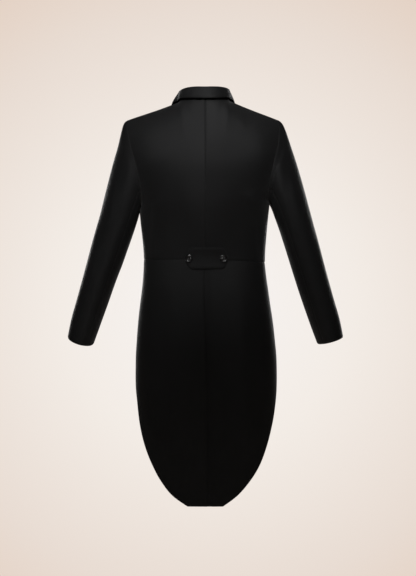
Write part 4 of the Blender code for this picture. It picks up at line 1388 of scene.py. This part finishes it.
# Threads of a button: how far out they go down, their radius, half their distance apart in a pair, and
# place and height along one
BUTTON_HOLE_OUT = 2.4
BUTTON_THREAD = 0.32
BUTTON_THREAD_BESIDE = 0.35
BUTTON_THREAD_LIFT = ((-1.0, -0.5), (-0.8, 0.25), (0.0, 0.5), (0.8, 0.25), (1.0, -0.5))

# Outline of a button, as shares of its radius and height
BUTTON_PROFILE = (
    (0.0, 0.66),
    (0.50, 0.66),
    (0.62, 0.70),
    (0.72, 0.92),
    (0.80, 1.0),
    (0.90, 0.98),
    (0.97, 0.84),
    (1.0, 0.60),
    (0.97, 0.36),
    (0.80, 0.12),
    (0.45, 0.02),
    (0.0, 0.0),
)


def turned(name, place, normal, material):
    """Button turned from its outline: a dished face inside a raised rim."""
    points = [(r * BUTTON_RADIUS * MM, 0.0, z * BUTTON_HEIGHT * MM) for r, z in BUTTON_PROFILE]
    mesh = bpy.data.meshes.new(name)
    mesh.from_pydata(points, [(i, i + 1) for i in range(len(points) - 1)], [])
    mesh.materials.append(material)
    obj = new_object(name, mesh)
    turn = obj.modifiers.new("Turned", "SCREW")
    turn.axis = "Z"
    turn.steps = 40
    turn.render_steps = 40
    turn.use_merge_vertices = True
    turn.merge_threshold = 0.00001
    obj.location = Vector(place) * MM
    obj.rotation_euler = Vector(normal).to_track_quat("Z", "Y").to_euler()
    return obj


def sew_on(name, place, normal):
    """Two bars of two threads over the dished face of a button."""
    turn = Vector(normal).to_track_quat("Z", "Y")
    face = BUTTON_HEIGHT * BUTTON_PROFILE[0][1]
    lines = []
    for across in (-BUTTON_HOLE_OUT, BUTTON_HOLE_OUT):
        for beside in (-BUTTON_THREAD_BESIDE, BUTTON_THREAD_BESIDE):
            line = []
            for f, lift in BUTTON_THREAD_LIFT:
                local = Vector((f * BUTTON_HOLE_OUT, across * 0.8 + beside, face + lift))
                line.append(np.array(place) + np.array(turn @ local))
            lines.append(line)
    threads(name, lines, BUTTON_THREAD)


def build_buttons():
    for side in (-1, 1):
        name = SIDE_NAME[side]
        height = DOUBLE_CLOTH + BELT_LAY + LAY
        place, normal = back_face(side * BELT_BUTTON_X[side], BELT_BUTTON_DROP, height)
        obj = turned(f"belt_button_turned_{name}", place, normal, BUTTON)
        finish_piece(obj, [f"belt_button_{name}"])
        sew_on(f"belt_button_thread_{name}", place, normal)
        for number, (drop, out) in enumerate(FRONT_BUTTONS, 1):
            v = (WAIST_DROP_FRONT - drop) / (WAIST_DROP_FRONT - CORNER_DROP_BACK)
            edge = front_point(side, 0.0, v)
            u = front_at_width(side, v, out - abs(edge[0]))
            place = moved_out(front_point, side, u, v, LAY)
            normal = place - front_point(side, u, v)
            obj = turned(f"front_button_turned_{name}_{number}", place, normal, BUTTON)
            finish_piece(obj, [f"front_button_{name}_{number}"])
            sew_on(f"front_button_thread_{name}_{number}", place, normal)


# Stage, light and camera

PHOTO_MIDDLE = (0.007, -0.5)
CAMERA_AWAY = 4.0
FRAME_HEIGHT = 1.601
SENSOR = 36.0
FLOOR_RADIUS = 1.8
FLOOR_Z = -1.72
FLOOR_SIDES = 96


def build_stage():
    mesh = bpy.data.meshes.new("floor")
    turns = np.linspace(0, 2 * math.pi, FLOOR_SIDES + 1)[:-1]
    ring = [(FLOOR_RADIUS * math.cos(a), FLOOR_RADIUS * math.sin(a), FLOOR_Z) for a in turns]
    mesh.from_pydata(ring, [], [tuple(range(FLOOR_SIDES))])
    material, nodes, links, shader = new_material("floor_paint")
    shader.inputs["Roughness"].default_value = 0.9
    grain = add(nodes, "ShaderNodeTexNoise", Scale=3.0, Detail=3.0)
    stops = ((0.3, (0.76, 0.70, 0.64)), (0.7, (0.80, 0.74, 0.68)))
    links.new(ramp(nodes, links, grain.outputs[0], stops), shader.inputs["Base Color"])
    mesh.materials.append(material)
    new_object("floor", mesh)


WORLD_LIGHT = 0.022

# Colour of the surroundings, with a painted pool of light that is near white straight behind the coat and
# darker beige away from there: distance from straight behind the coat, colour
BACKDROP_PAINTED_LIGHT_POOL = (
    (0.0, (0.93, 0.90, 0.885)),
    (0.10, (0.896, 0.84, 0.79)),
    (0.20, (0.81, 0.716, 0.65)),
    (0.25, (0.776, 0.645, 0.558)),
)


def build_world():
    """Pale surroundings with a painted pool of light: near white straight behind the coat, a darker warm beige
    away from there.
    """
    world = bpy.data.worlds.new("studio")
    bpy.context.scene.world = world
    world.use_nodes = True
    nodes, links = world.node_tree.nodes, world.node_tree.links
    background = nodes["Background"]
    direction = add(nodes, "ShaderNodeTexCoord")
    apart = add(nodes, "ShaderNodeVectorMath", operation="DISTANCE")
    apart.inputs[1].default_value = (0.0, 1.0, -0.01)
    links.new(direction.outputs["Generated"], apart.inputs[0])
    # The colour ramp paints a pool of light on the surroundings: brightest straight behind the coat, darker
    # away from there
    links.new(ramp(nodes, links, apart.outputs["Value"], BACKDROP_PAINTED_LIGHT_POOL), background.inputs["Color"])
    path = add(nodes, "ShaderNodeLightPath")
    seen = maths(nodes, links, "MULTIPLY", path.outputs["Is Camera Ray"], 1.0 - WORLD_LIGHT)
    links.new(maths(nodes, links, "ADD", seen, WORLD_LIGHT), background.inputs["Strength"])


def aim(name, light, place, target):
    """Hang a light at a place and turn it to its target."""
    obj = new_object(name, light)
    obj.location = place
    obj.rotation_euler = (Vector(target) - Vector(place)).to_track_quat("-Z", "Y").to_euler()


def add_light(name, place, target, size, power):
    """Large soft disk."""
    light = bpy.data.lights.new(name, "AREA")
    light.shape = "DISK"
    light.size = size
    light.energy = power
    aim(name, light, place, target)


def add_spot(name, place, target, degrees, power):
    """Round pool of light that fades out to its rim."""
    light = bpy.data.lights.new(name, "SPOT")
    light.spot_size = math.radians(degrees)
    light.spot_blend = 1.0
    light.shadow_soft_size = SPOT_RADIUS
    light.energy = power
    aim(name, light, place, target)


# Power of the lights in watts, by side where the photo's two sides differ
SPOT_RADIUS = 0.25
KEY_POWER = 275.0
SLEEVE_POWER = {-1: 170.0, 1: 105.0}
FRONT_POWER = 34.0
SKIRT_POWER = 26.0
SKIRT_HEIGHTS = (-0.74, -0.96)


def build_lights():
    """Pools of light on the back, sleeves and skirt, and soft lights for the front, top and floor."""
    for side in (-1, 1):
        name = SIDE_NAME[side]
        add_spot(f"key_{name}", (side * 0.4 - 0.2, -3.1, 1.8), (side * 0.10, 0.0, -0.075), 14.0, KEY_POWER)
        add_spot(f"sleeve_{name}", (side * 1.3, -3.0, -0.2), (side * 0.33, 0.0, -0.53), 8.5,
                 SLEEVE_POWER[side])
        add_light(f"front_{name}", (side * 1.9, 3.6, 0.2), (0.0, 0.1, -0.35), 1.4, FRONT_POWER)
    for height in SKIRT_HEIGHTS:
        add_spot(f"skirt_{-height:.2f}", (0.5, -3.0, -0.7), (0.03, 0.0, height), 6.0, SKIRT_POWER)
    add_light("top", (0.0, -0.9, 1.5), (0.0, -0.1, 0.0), 1.2, 5.0)
    add_light("fill", (-2.8, -1.0, -0.1), (-0.3, 0.0, -0.45), 1.2, 1.5)
    add_light("floor", (0.0, 0.0, -1.25), (0.0, 0.001, -1.7), 3.0, 14.0)


def build_camera():
    camera = bpy.data.cameras.new("camera")
    camera.sensor_width = SENSOR
    camera.lens = SENSOR * CAMERA_AWAY / FRAME_HEIGHT
    obj = new_object("camera", camera)
    obj.location = (PHOTO_MIDDLE[0], -CAMERA_AWAY, PHOTO_MIDDLE[1])
    obj.rotation_euler = (math.radians(90), 0, 0)
    bpy.context.scene.camera = obj


build_panels()
build_sleeves()
build_collar()
build_lapels()
build_belt()
build_buttons()
build_stage()
build_world()
build_lights()
build_camera()
bpy.context.scene.view_settings.view_transform = "Standard"
